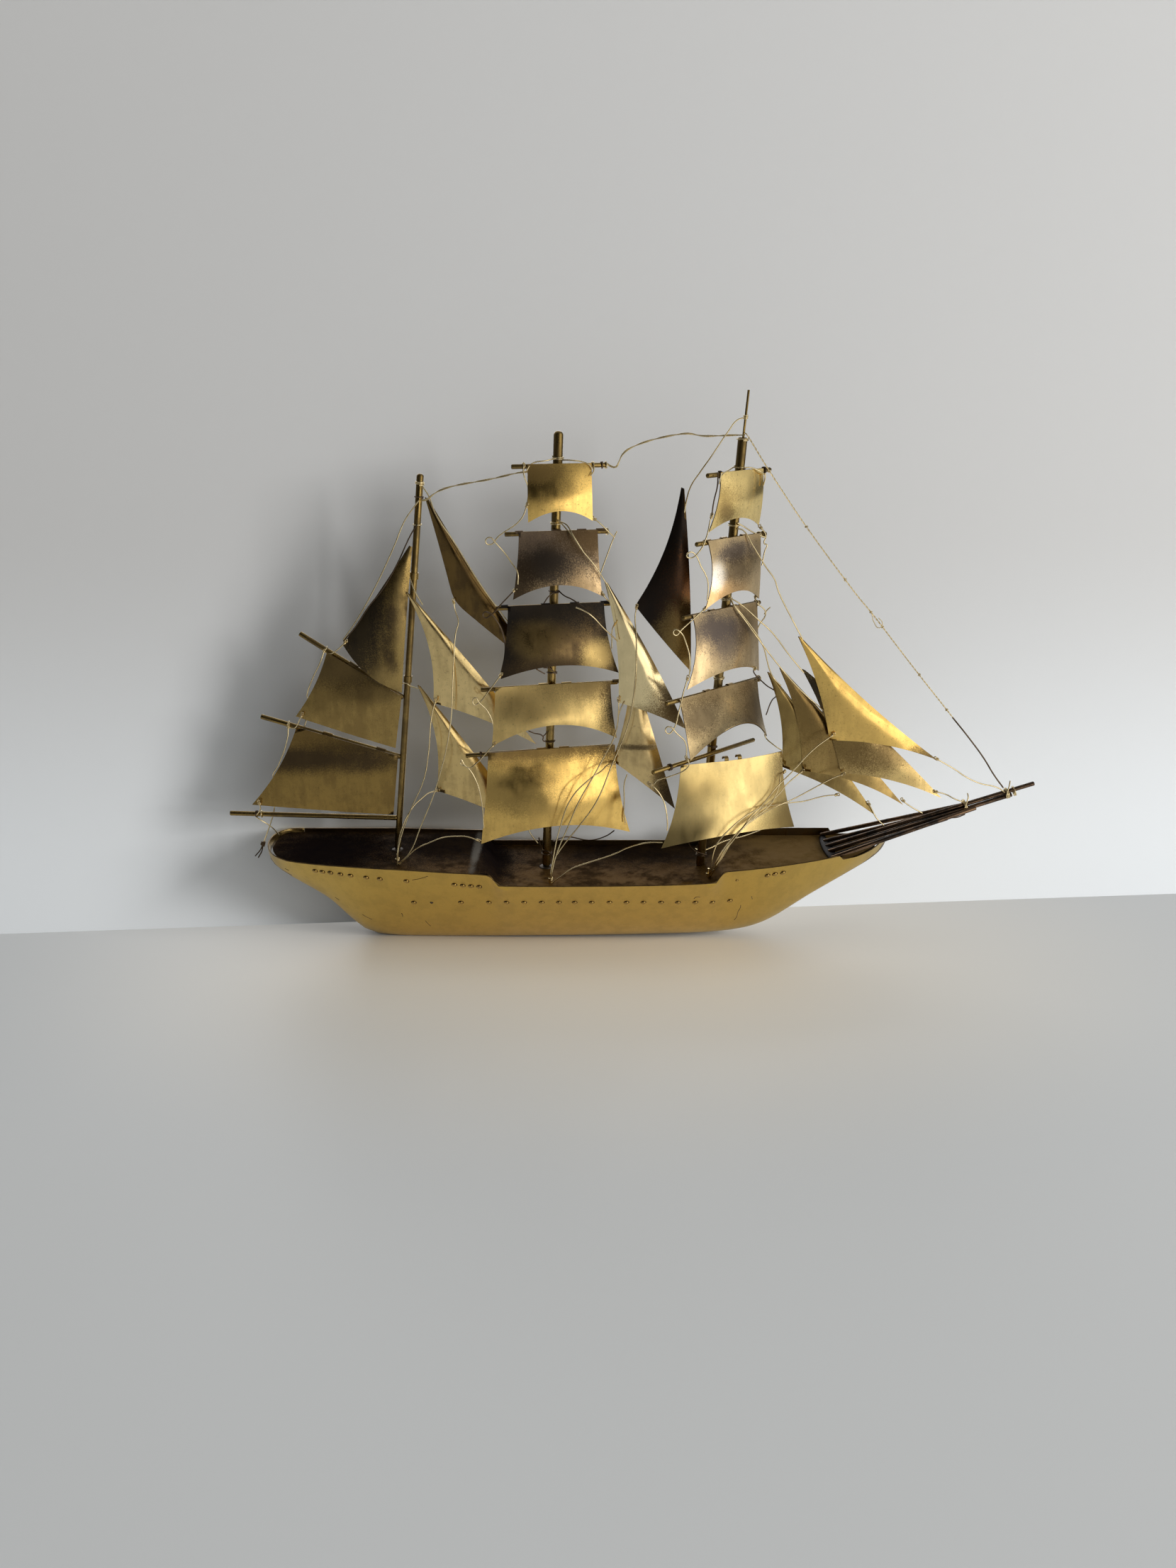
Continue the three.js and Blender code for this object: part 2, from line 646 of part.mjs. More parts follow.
const STAYS = [
  {
    name: "fore_stay",
    points: [[115.5, -45, 378], [130, -43.5, 357], [158, -43, 319], [193, -42, 276],
      [209, -41, 258], [242, -38, 219], [274, -36, 182], [300, -34, 151], [317, -34, 127.5]],
    steps: 16,
  },
  {
    name: "mizzen_stay",
    points: [[-99, -42.5, 338], [-80, -43.5, 347.5], [-56, -46, 351.5], [-37, -50, 356], [-26, -51.5, 357]],
    steps: 10,
  },
  {
    name: "main_fore_stay",
    points: [[28, -41, 359], [34, -42, 369], [50, -42.5, 376], [73, -43, 380.5], [86, -43, 379],
      [109.5, -43, 379.6]],
    steps: 12,
  },
  {
    name: "pole_stay",
    points: [[111, -44.5, 390.5], [102, -44.8, 382.5], [91, -44.8, 366], [78, -44, 347.5],
      [75, -43, 337]],
    steps: 10,
  },
];

// ---------------------------------------------------------------- assembly

addSidePlate();
addBackPlate();
addBottomStrip();
addDeck();
addMasts();
addSpankerSpars();
addYards("main", MAIN, MAIN_YARDS, MAIN_BRACE);
addYards("fore", FORE, FORE_YARDS, FORE_BRACE);
addLooseCourse();
SIDE_SAILS.forEach((sail) => add(sail.name, sideSail(sail), sail.finish));
addBowsprit();
STAYS.forEach(({ name, points, steps }) => add(name, wire(points, steps), AGED));

ship.position.z = -MOUNT_HEIGHT;
const part = new THREE.Group();
part.add(ship);

export default part;
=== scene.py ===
# %% [markdown]
# # A brass sailing ship for the wall
# The real object is a half hull of thin brass sheet with rod masts, sheet sails and a
# lot of fine wire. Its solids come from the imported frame, in metres. This notebook puts
# the smooth metal, the wires, the rivets and the patina around them.

# %% Load the frame
import math

import bpy
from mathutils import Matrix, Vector


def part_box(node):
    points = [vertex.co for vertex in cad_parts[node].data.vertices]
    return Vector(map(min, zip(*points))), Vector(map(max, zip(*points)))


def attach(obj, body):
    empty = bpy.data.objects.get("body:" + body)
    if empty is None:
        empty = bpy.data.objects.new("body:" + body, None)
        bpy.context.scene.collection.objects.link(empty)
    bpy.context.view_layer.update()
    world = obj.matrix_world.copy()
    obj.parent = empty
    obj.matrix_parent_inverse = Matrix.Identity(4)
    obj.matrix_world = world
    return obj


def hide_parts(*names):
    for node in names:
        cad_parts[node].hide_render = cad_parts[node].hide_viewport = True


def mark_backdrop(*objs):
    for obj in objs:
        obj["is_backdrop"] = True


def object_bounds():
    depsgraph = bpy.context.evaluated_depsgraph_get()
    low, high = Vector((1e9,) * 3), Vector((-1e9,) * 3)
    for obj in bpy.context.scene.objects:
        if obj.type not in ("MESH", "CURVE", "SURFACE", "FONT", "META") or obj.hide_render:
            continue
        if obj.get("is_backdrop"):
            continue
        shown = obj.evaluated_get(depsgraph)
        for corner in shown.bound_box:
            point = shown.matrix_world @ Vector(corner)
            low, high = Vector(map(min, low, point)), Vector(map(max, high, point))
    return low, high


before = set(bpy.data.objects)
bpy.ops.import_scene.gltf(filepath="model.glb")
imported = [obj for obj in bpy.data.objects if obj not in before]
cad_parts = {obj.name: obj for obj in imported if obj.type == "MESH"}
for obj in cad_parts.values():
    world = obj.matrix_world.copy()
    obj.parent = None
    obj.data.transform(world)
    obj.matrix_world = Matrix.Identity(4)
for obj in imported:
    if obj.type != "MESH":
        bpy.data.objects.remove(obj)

cad_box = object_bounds()
MM = 0.001  # every size below is written in millimetres and multiplied by this
scene = bpy.context.scene
print("solids in the frame:", len(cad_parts))

# %% [markdown]
# ## Camera
# The ship is looked at from a little above. A wide lens close by shows the deck inside
# the hull, so the camera stands less than a metre away and tips down by 20 degrees.

# %% Camera
CAMERA_PLACE = (0.0093, -0.853, 0.379)
CAMERA_TIP = 20  # degrees
LENS = 27.03
bpy.ops.object.camera_add(location=CAMERA_PLACE, rotation=(math.radians(90 - CAMERA_TIP), 0, 0))
camera = bpy.context.object
camera.data.lens = LENS
scene.camera = camera
print("camera", tuple(round(x, 3) for x in camera.location))

# %% [markdown]
# ## Floor and wall
# The ship stands on its keel on a pale floor and leans its back plate towards a pale
# wall. The wall is turned a few degrees, so that it touches the stern and leaves a gap
# at the bow. Both are stage and no part of the object. The wall lets light through and
# is clear from behind, so that the back can be looked at too. Their paint, like every
# finish below, is a net of shader nodes, so a few helpers make and join such nodes.

# %% Helpers for shader nodes
def deselect():
    if bpy.context.object and bpy.context.object.mode != "OBJECT":
        bpy.ops.object.mode_set(mode="OBJECT")
    bpy.ops.object.select_all(action="DESELECT")


def connect(finish, value, socket):
    """Gives a socket another node's output, or a plain value."""
    if isinstance(value, bpy.types.NodeSocket):
        finish.node_tree.links.new(value, socket)
    else:
        socket.default_value = value


def add_node(finish, kind, inputs=None, **settings):
    """Adds a shader node. An input is a plain value or another node's output."""
    made = finish.node_tree.nodes.new("ShaderNode" + kind)
    for setting, value in settings.items():
        setattr(made, setting, value)
    for socket, value in (inputs or {}).items():
        connect(finish, value, made.inputs[socket])
    return made


def vector_math(finish, operation, *values):
    return add_node(finish, "VectorMath", dict(enumerate(values)), operation=operation)


def smoothstep(finish, value, low, high):
    """Rises softly from 0 at the low value to 1 at the high one."""
    ends = {"Value": value, "From Min": low, "From Max": high}
    return add_node(finish, "MapRange", ends, interpolation_type="SMOOTHSTEP").outputs[0]


def colour_ramp(finish, value, first, last):
    made = add_node(finish, "ValToRGB", {0: value})
    for element, colour in zip(made.color_ramp.elements, (first, last)):
        element.color = (*colour, 1)
    return made.outputs[0]


def new_finish(name):
    """A new material, and the inputs of its main shader."""
    finish = bpy.data.materials.new(name)
    finish.use_nodes = True
    return finish, finish.node_tree.nodes["Principled BSDF"].inputs


# %% Floor and wall
BOARD_SIZE = 6
FLOOR_GAP = 0.2 * MM
WALL_PLACE = (0, 17.9 * MM, 2.9)
WALL_TURN = math.radians(4.4)
WALL_FOOT, WALL_FADE_END = -2.92, -2.62  # up the wall, from its own middle
WALL_PAINTED_BOUNCE, WALL_HIGH = (0.82, 0.85, 0.88), (0.60, 0.60, 0.60)
KEEL_PLACE, KEEL_STRETCH = (0.02, -0.04, 0), (0.6, 1, 1)
FLOOR_PAINTED_GLOW, FLOOR_FAR = (0.85, 0.80, 0.71), (0.68, 0.69, 0.69)


def painted_board(name, place, rotation, roughness):
    deselect()
    bpy.ops.mesh.primitive_plane_add(size=BOARD_SIZE, location=place, rotation=rotation)
    board = bpy.context.object
    board.name = name
    paint, shader = new_finish(name + "_paint")
    shader["Roughness"].default_value = roughness
    board.data.materials.append(paint)
    return board, paint, shader


floor_height = cad_box[0].z - FLOOR_GAP
floor, paint, shader = painted_board("floor", (0, 0, floor_height), (0, 0, 0), 0.45)
# Near the keel the floor is painted a paler, warmer cream. This is a painted pool of light: the glow that
# the brass throws down onto the floor.
place = add_node(paint, "TexCoord").outputs["Object"]
squeezed = add_node(paint, "Mapping", {"Vector": place, "Scale": KEEL_STRETCH}).outputs[0]
from_keel = vector_math(paint, "DISTANCE", squeezed, KEEL_PLACE).outputs["Value"]
far_off = smoothstep(paint, from_keel, 0.04, 0.3)
connect(paint, colour_ramp(paint, far_off, FLOOR_PAINTED_GLOW, FLOOR_FAR), shader["Base Color"])

wall, paint, shader = painted_board("wall", WALL_PLACE, (math.radians(90), 0, WALL_TURN), 0.6)
# The wall is painted paler and bluer towards its foot. This is painted light, standing in for the light that
# the floor bounces onto it.
place = add_node(paint, "TexCoord").outputs["Object"]
upward = add_node(paint, "SeparateXYZ", {0: place}).outputs["Y"]
above_floor = smoothstep(paint, upward, WALL_FOOT, WALL_FADE_END)
connect(paint, colour_ramp(paint, above_floor, WALL_PAINTED_BOUNCE, WALL_HIGH), shader["Base Color"])
wall.visible_shadow = wall.visible_glossy = wall.visible_diffuse = False
from_behind = add_node(paint, "NewGeometry").outputs["Backfacing"]
clear = add_node(paint, "BsdfTransparent").outputs[0]
painted = paint.node_tree.nodes["Principled BSDF"].outputs[0]
shown = add_node(paint, "MixShader", {0: from_behind, 1: painted, 2: clear}).outputs[0]
connect(paint, shown, paint.node_tree.nodes["Material Output"].inputs[0])
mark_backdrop(floor, wall)
print("floor at", round(floor_height / MM, 1), "mm")

# %% [markdown]
# ## Light
# Polished brass looks like what it reflects, so the light matters as much as the metal.
# A tall soft window stands to the right and in front, which throws the long soft
# shadows to the left. A wide dim sheet overhead fills them, and the room behind the
# camera stays darker, which gives the sails their brown half.

# %% Lamps
def soft_light(name, place, aim, size, power, colour=(1, 1, 1)):
    bpy.ops.object.light_add(type="AREA", location=place)
    lamp = bpy.context.object
    lamp.name = name
    lamp.data.shape = "RECTANGLE"
    lamp.data.size, lamp.data.size_y = size
    lamp.data.energy = power
    lamp.data.color = colour
    lamp.rotation_euler = (Vector(aim) - Vector(place)).to_track_quat("-Z", "Y").to_euler()
    return lamp


window = soft_light("window", (3.6, -1.65, 1.2), (0, 0, 0.12), (1.0, 1.8), 165, (1, 0.99, 0.97))
overhead = soft_light("overhead", (0.2, -0.5, 1.9), (0, 0, 0), (2.0, 1.2), 4, (0.94, 0.97, 1))
window.visible_glossy = overhead.visible_glossy = False
soft_light("behind", (-0.3, 1.6, 0.9), (0, 0, 0.1), (1.6, 1.2), 8)
sunlit_table = soft_light(
    "sunlit_table", (0.56, -0.62, -0.03), (0.1, -0.05, 0.2), (0.85, 0.6), 1.8, (1, 0.95, 0.88))
sunlit_table.visible_diffuse = False

# %% The room that the metal reflects
DARK_SIDE = Vector((-0.4, -1, 0.5)).normalized()
WINDOW_SIDE = Vector((1, -0.55, 0.25)).normalized()
FLOORWARDS, CEILINGWARDS = (0.10, 0.095, 0.09), (0.75, 0.78, 0.80)
DARK_CORNER = (0.05, 0.045, 0.04)
WINDOW_GLOW = (3.0, 2.95, 2.8)
ROOM_STRENGTH = 0.38

room = bpy.data.worlds.new("room")
room.use_nodes = True
scene.world = room
direction = add_node(room, "TexCoord").outputs["Generated"]


def mix_colour(finish, factor, first, second):
    mixed = add_node(finish, "Mix", {0: factor}, data_type="RGBA")
    for index, colour in ((6, first), (7, second)):
        connect(finish, (*colour, 1) if isinstance(colour, tuple) else colour, mixed.inputs[index])
    return mixed.outputs[2]


def towards(side, low, high):
    """1 where the room lies on a side, 0 away from it."""
    facing = vector_math(room, "DOT_PRODUCT", direction, side).outputs["Value"]
    return smoothstep(room, facing, low, high)


upright = add_node(room, "SeparateXYZ", {0: direction}).outputs["Z"]
height = add_node(room, "MapRange", {"Value": upright, "From Min": -0.2, "From Max": 0.8}).outputs[0]
shade = colour_ramp(room, height, FLOORWARDS, CEILINGWARDS)
shade = mix_colour(room, towards(DARK_SIDE, 0.4, 0.9), shade, DARK_CORNER)
shade = mix_colour(room, towards(WINDOW_SIDE, 0.72, 0.97), shade, WINDOW_GLOW)
sky = room.node_tree.nodes["Background"].inputs
connect(room, shade, sky["Color"])
sky["Strength"].default_value = ROOM_STRENGTH
scene.view_settings.view_transform = "Standard"
print("room:", room.name)

# %% [markdown]
# ## Brass
# One recipe makes every brass finish. It starts from clean metal, lets brown tarnish in
# as a cloudy stain, sprinkles it with freckles, and lays patches of colour on it. Most
# patches are dark patina where a flame or old lacquer has left them, and some are painted
# reflections of dark things in front of the ship. The edge of a patch breaks up into
# grains. Darker metal is rougher and reflects less like a mirror. All patterns sit on the
# object's own coordinates, so they stay on the metal from every side.

# %% Colours of brass
CLEAN = (0.80, 0.53, 0.13)
GOLD = (0.88, 0.58, 0.17)
PALE = (0.82, 0.62, 0.26)
STRAW = (0.60, 0.42, 0.15)
OLIVE = (0.32, 0.215, 0.07)
BRONZE = (0.17, 0.105, 0.035)
COPPERY = (0.66, 0.49, 0.27)
RUST = (0.70, 0.38, 0.14)
SILVERY = (0.90, 0.84, 0.74)
BROWN = (0.10, 0.058, 0.02)
UMBER = (0.045, 0.028, 0.014)
BLACK = (0.014, 0.011, 0.009)
SOOT = (0.004, 0.003, 0.0035)
VIOLET = (0.105, 0.082, 0.070)
DARK_LIMIT = 0.3  # a patch whose colour adds up to less than this also dulls the metal
print("darkest colour:", SOOT)

# %% Patterns
EDGE_CLOUDS, EDGE_GRAINS = 1.4, 1.5  # how far clouds and grains break up a patch's edge
EDGE_LEVEL, EDGE_SOFTNESS = 2.42, 0.6


def calculate(finish, operation, *values):
    return add_node(finish, "Math", dict(enumerate(values)), operation=operation).outputs[0]


def noise(finish, place, size, detail, roughness, stretch=(1, 1, 1)):
    """Clouds about as wide as the size, which is in millimetres."""
    scaled = add_node(finish, "Mapping", {"Vector": place, "Scale": stretch}).outputs[0]
    look = {"Vector": scaled, "Scale": 1 / (size * MM), "Detail": detail, "Roughness": roughness}
    return add_node(finish, "TexNoise", look).outputs["Fac"]


def patch_mask(finish, place, centre, reach, clouds, grains):
    """1 in the middle of a patch, 0 outside it, with a grainy edge."""
    offset = vector_math(finish, "SUBTRACT", place, centre).outputs[0]
    scaled = vector_math(finish, "DIVIDE", offset, reach).outputs[0]
    away = vector_math(finish, "LENGTH", scaled).outputs["Value"]
    ragged = calculate(finish, "MULTIPLY_ADD", clouds, EDGE_CLOUDS, away)
    grainy = calculate(finish, "MULTIPLY_ADD", grains, EDGE_GRAINS, ragged)
    return smoothstep(finish, grainy, EDGE_LEVEL + EDGE_SOFTNESS, EDGE_LEVEL - EDGE_SOFTNESS)


print("edge level of a patch:", EDGE_LEVEL)

# %% Brass
CLOUD_SHARE, STREAK_SHARE = 0.6, 0.4
SMUDGE = 0.14  # how much the streaks change the roughness


def brass(name, metal=CLEAN, box=None, tarnish=0.25, stain=BROWN, freckles=0.3, shine=0.22,
          dull=0.46, patches=(), seed=0.0, bare_metal=1.0, dark_metal=0.75, lying=False):
    """The patches are (across, up, half width, half height, colour, strength) with
    the first four as shares of the box that the finish is laid on. On a lying sheet
    the second and fourth run across the ship."""
    finish, shader = new_finish(name)
    place = add_node(finish, "TexCoord").outputs["Object"]
    moved = vector_math(finish, "ADD", place, (seed, seed * 0.7, seed * 0.4)).outputs[0]
    clouds = noise(finish, moved, 20, 5, 0.62)
    streaks = noise(finish, moved, 7, 3, 0.6, (1, 1, 0.18))
    grains = noise(finish, moved, 0.9, 2, 0.8)
    specks = noise(finish, moved, 2.2, 4, 0.85)
    mixed = calculate(finish, "MULTIPLY", clouds, CLOUD_SHARE)
    mixed = calculate(finish, "MULTIPLY_ADD", streaks, STREAK_SHARE, mixed)
    dark = calculate(finish, "MULTIPLY", smoothstep(finish, mixed, 0.42, 0.62), tarnish)
    colour = mix_colour(finish, dark, metal, stain)
    if freckles:
        dots = calculate(finish, "MULTIPLY", smoothstep(finish, specks, 0.57, 0.66), freckles)
        colour = mix_colour(finish, dots, colour, UMBER)
    for across, up, half_width, half_height, shade, strength in patches:
        low, high = box
        size = high - low
        if lying:
            centre = (low.x + across * size.x, low.y + up * size.y, low.z)
            reach = (half_width * size.x, half_height * size.y, 1.0)
        else:
            centre = (low.x + across * size.x, low.y, low.z + up * size.z)
            reach = (half_width * size.x, 1.0, half_height * size.z)
        mask = patch_mask(finish, place, centre, reach, clouds, grains)
        mask = calculate(finish, "MULTIPLY", mask, strength)
        colour = mix_colour(finish, mask, colour, shade)
        if sum(shade) < DARK_LIMIT:
            dark = calculate(finish, "MAXIMUM", dark, mask)
    connect(finish, colour, shader["Base Color"])
    rough = add_node(finish, "MapRange", {"Value": dark, "To Min": shine, "To Max": dull}).outputs[0]
    smudged = calculate(finish, "MULTIPLY_ADD", streaks, SMUDGE, rough)
    even = add_node(finish, "Math", {0: smudged, 1: SMUDGE / 2}, operation="SUBTRACT", use_clamp=True)
    connect(finish, even.outputs[0], shader["Roughness"])
    metallic = add_node(finish, "MapRange", {"Value": dark, "To Min": bare_metal, "To Max": dark_metal})
    connect(finish, metallic.outputs[0], shader["Metallic"])
    bumps = add_node(finish, "Bump", {"Height": grains, "Strength": 0.06, "Distance": 0.1 * MM})
    connect(finish, bumps.outputs[0], shader["Normal"])
    return finish


cut_edge = brass("cut_edge", (0.20, 0.13, 0.05), tarnish=0.8, stain=UMBER, shine=0.4)
print("finish:", cut_edge.name)

# %% [markdown]
# ## Sheets
# Every sheet is bent from flat stock, so its solid already has the true outline and
# curve. A copy of that solid is welded, its outline is creased so that it stays crisp,
# and a subdivision surface smooths it. A gentle cloud displacement then gives it the
# uneven face of hand bent sheet. It pushes both faces the same way, so the sheet
# keeps its thickness. The thin cut faces get a darker finish.

# %% Helpers for editing
def select_only(piece):
    deselect()
    piece.select_set(True)
    bpy.context.view_layer.objects.active = piece


def edit_all():
    bpy.ops.object.mode_set(mode="EDIT")
    bpy.ops.mesh.select_all(action="SELECT")


def edit_sharp_edges(angle):
    bpy.ops.object.mode_set(mode="EDIT")
    bpy.ops.mesh.select_mode(type="EDGE")
    bpy.ops.mesh.select_all(action="DESELECT")
    bpy.ops.mesh.edges_select_sharp(sharpness=math.radians(angle))


def edit_points(mesh, chosen):
    for element in (*mesh.vertices, *mesh.edges, *mesh.polygons):
        element.select = False
    for index in chosen:
        mesh.vertices[index].select = True
    scene.tool_settings.mesh_select_mode = (True, False, False)
    bpy.ops.object.mode_set(mode="EDIT")


def stop_editing():
    bpy.ops.object.mode_set(mode="OBJECT")


def apply_modifier(piece, kind, **settings):
    select_only(piece)
    modifier = piece.modifiers.new(kind.lower(), kind)
    for setting, value in settings.items():
        setattr(modifier, setting, value)
    bpy.ops.object.modifier_apply(modifier=modifier.name)


def smooth_faces(piece, angle=40):
    select_only(piece)
    bpy.ops.object.shade_smooth_by_angle(angle=math.radians(angle))


# %% Helpers for sheets
WELD = 0.01 * MM
FLAT_ANGLE = math.radians(60)
CUT_WIDTH = 1.5  # a cut face is narrower than this many sheets
LOOKS_AHEAD = 0.75
PULL_REACH = 1.6  # points this close to a place, in mm, are pulled
NEAR_SIDE = -40  # the hull's rim on the near side lies in front of this
BEND_LENGTH = 90  # the hull curves round over this length at each end


def welded_copy(name, node):
    """A copy of a solid, with its loose triangles welded into faces."""
    piece = bpy.data.objects.new(name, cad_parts[node].data.copy())
    scene.collection.objects.link(piece)
    piece.data.materials.clear()
    select_only(piece)
    edit_all()
    bpy.ops.mesh.remove_doubles(threshold=WELD)
    bpy.ops.mesh.tris_convert_to_quads(face_threshold=FLAT_ANGLE, shape_threshold=FLAT_ANGLE)
    stop_editing()
    return piece


def pin_corners(piece, angle):
    """Creases the points where the outline turns sharply, so that they stay corners."""
    mesh = piece.data
    creases = mesh.attributes["crease_edge"].data
    neighbours = {}
    for edge in mesh.edges:
        if creases[edge.index].value > 0.5:
            first, second = edge.vertices
            neighbours.setdefault(first, []).append(second)
            neighbours.setdefault(second, []).append(first)
    chosen = []
    for index, others in neighbours.items():
        if len(others) == 2:
            before, after = (mesh.vertices[i].co - mesh.vertices[index].co for i in others)
            if math.pi - before.angle(after) > math.radians(angle):
                chosen.append(index)
    edit_points(mesh, chosen)
    bpy.ops.transform.vert_crease(value=1)
    stop_editing()


def mark_cut_faces(piece, thickness):
    """Faces with a side as short as the sheet's thickness get the second finish, but not
    the narrow faces at a pointed head, which look forward or back."""
    points = piece.data.vertices
    for face in piece.data.polygons:
        ring = [points[i].co for i in face.vertices]
        sides = [(a - b).length for a, b in zip(ring, ring[1:] + ring[:1])]
        if min(sides) < thickness * CUT_WIDTH and abs(face.normal.y) < LOOKS_AHEAD:
            face.material_index = 1


def mark_inside(piece):
    """Faces that look at the middle of the hull get the third finish."""
    low, high = (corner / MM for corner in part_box("hull_side_plate"))
    for face in piece.data.polygons:
        place = face.center / MM
        middle = Vector((min(max(place.x, low.x + BEND_LENGTH), high.x - BEND_LENGTH), 0, place.z))
        if face.material_index == 0 and face.normal.dot(middle - place) > 0:
            face.material_index = 2


def pull_points(piece, near, to):
    """Moves the outline points close to a place. The places are (along, up) in mm."""
    places = [vertex.co / MM for vertex in piece.data.vertices]
    chosen = [
        index for index, place in enumerate(places)
        if Vector((place.x - near[0], place.z - near[1])).length < PULL_REACH and place.y < NEAR_SIDE
    ]
    edit_points(piece.data, chosen)
    bpy.ops.transform.translate(value=Vector((to[0] - near[0], 0, to[1] - near[1])) * MM)
    bpy.ops.mesh.select_all(action="DESELECT")
    stop_editing()


print("points closer than", WELD / MM, "mm are welded")

# %% Smooth sheets
OUTLINE_ANGLE = 50
SHEET_LEVELS = 2
dents = bpy.data.textures.new("dents", "CLOUDS")
dents.noise_scale = 24 * MM
dents.noise_depth = 1


def sheet(node, finish, thickness, dent, corner=None, inside=None, pulls=()):
    piece = welded_copy(node + "_sheet", node)
    piece.data.materials.append(finish)
    piece.data.materials.append(cut_edge)
    mark_cut_faces(piece, thickness)
    edit_sharp_edges(OUTLINE_ANGLE)
    bpy.ops.transform.edge_crease(value=1)
    stop_editing()
    if inside:
        piece.data.materials.append(inside)
        mark_inside(piece)
    if corner:
        pin_corners(piece, corner)
    for near, to in pulls:
        pull_points(piece, near, to)
    apply_modifier(piece, "SUBSURF", levels=SHEET_LEVELS, render_levels=SHEET_LEVELS)
    if dent:
        apply_modifier(piece, "DISPLACE", texture=dents, texture_coords="LOCAL", direction="Y",
                       mid_level=0.5, strength=dent * MM)
    smooth_faces(piece)
    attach(piece, "root")
    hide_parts(node)


print("texture:", dents.name)
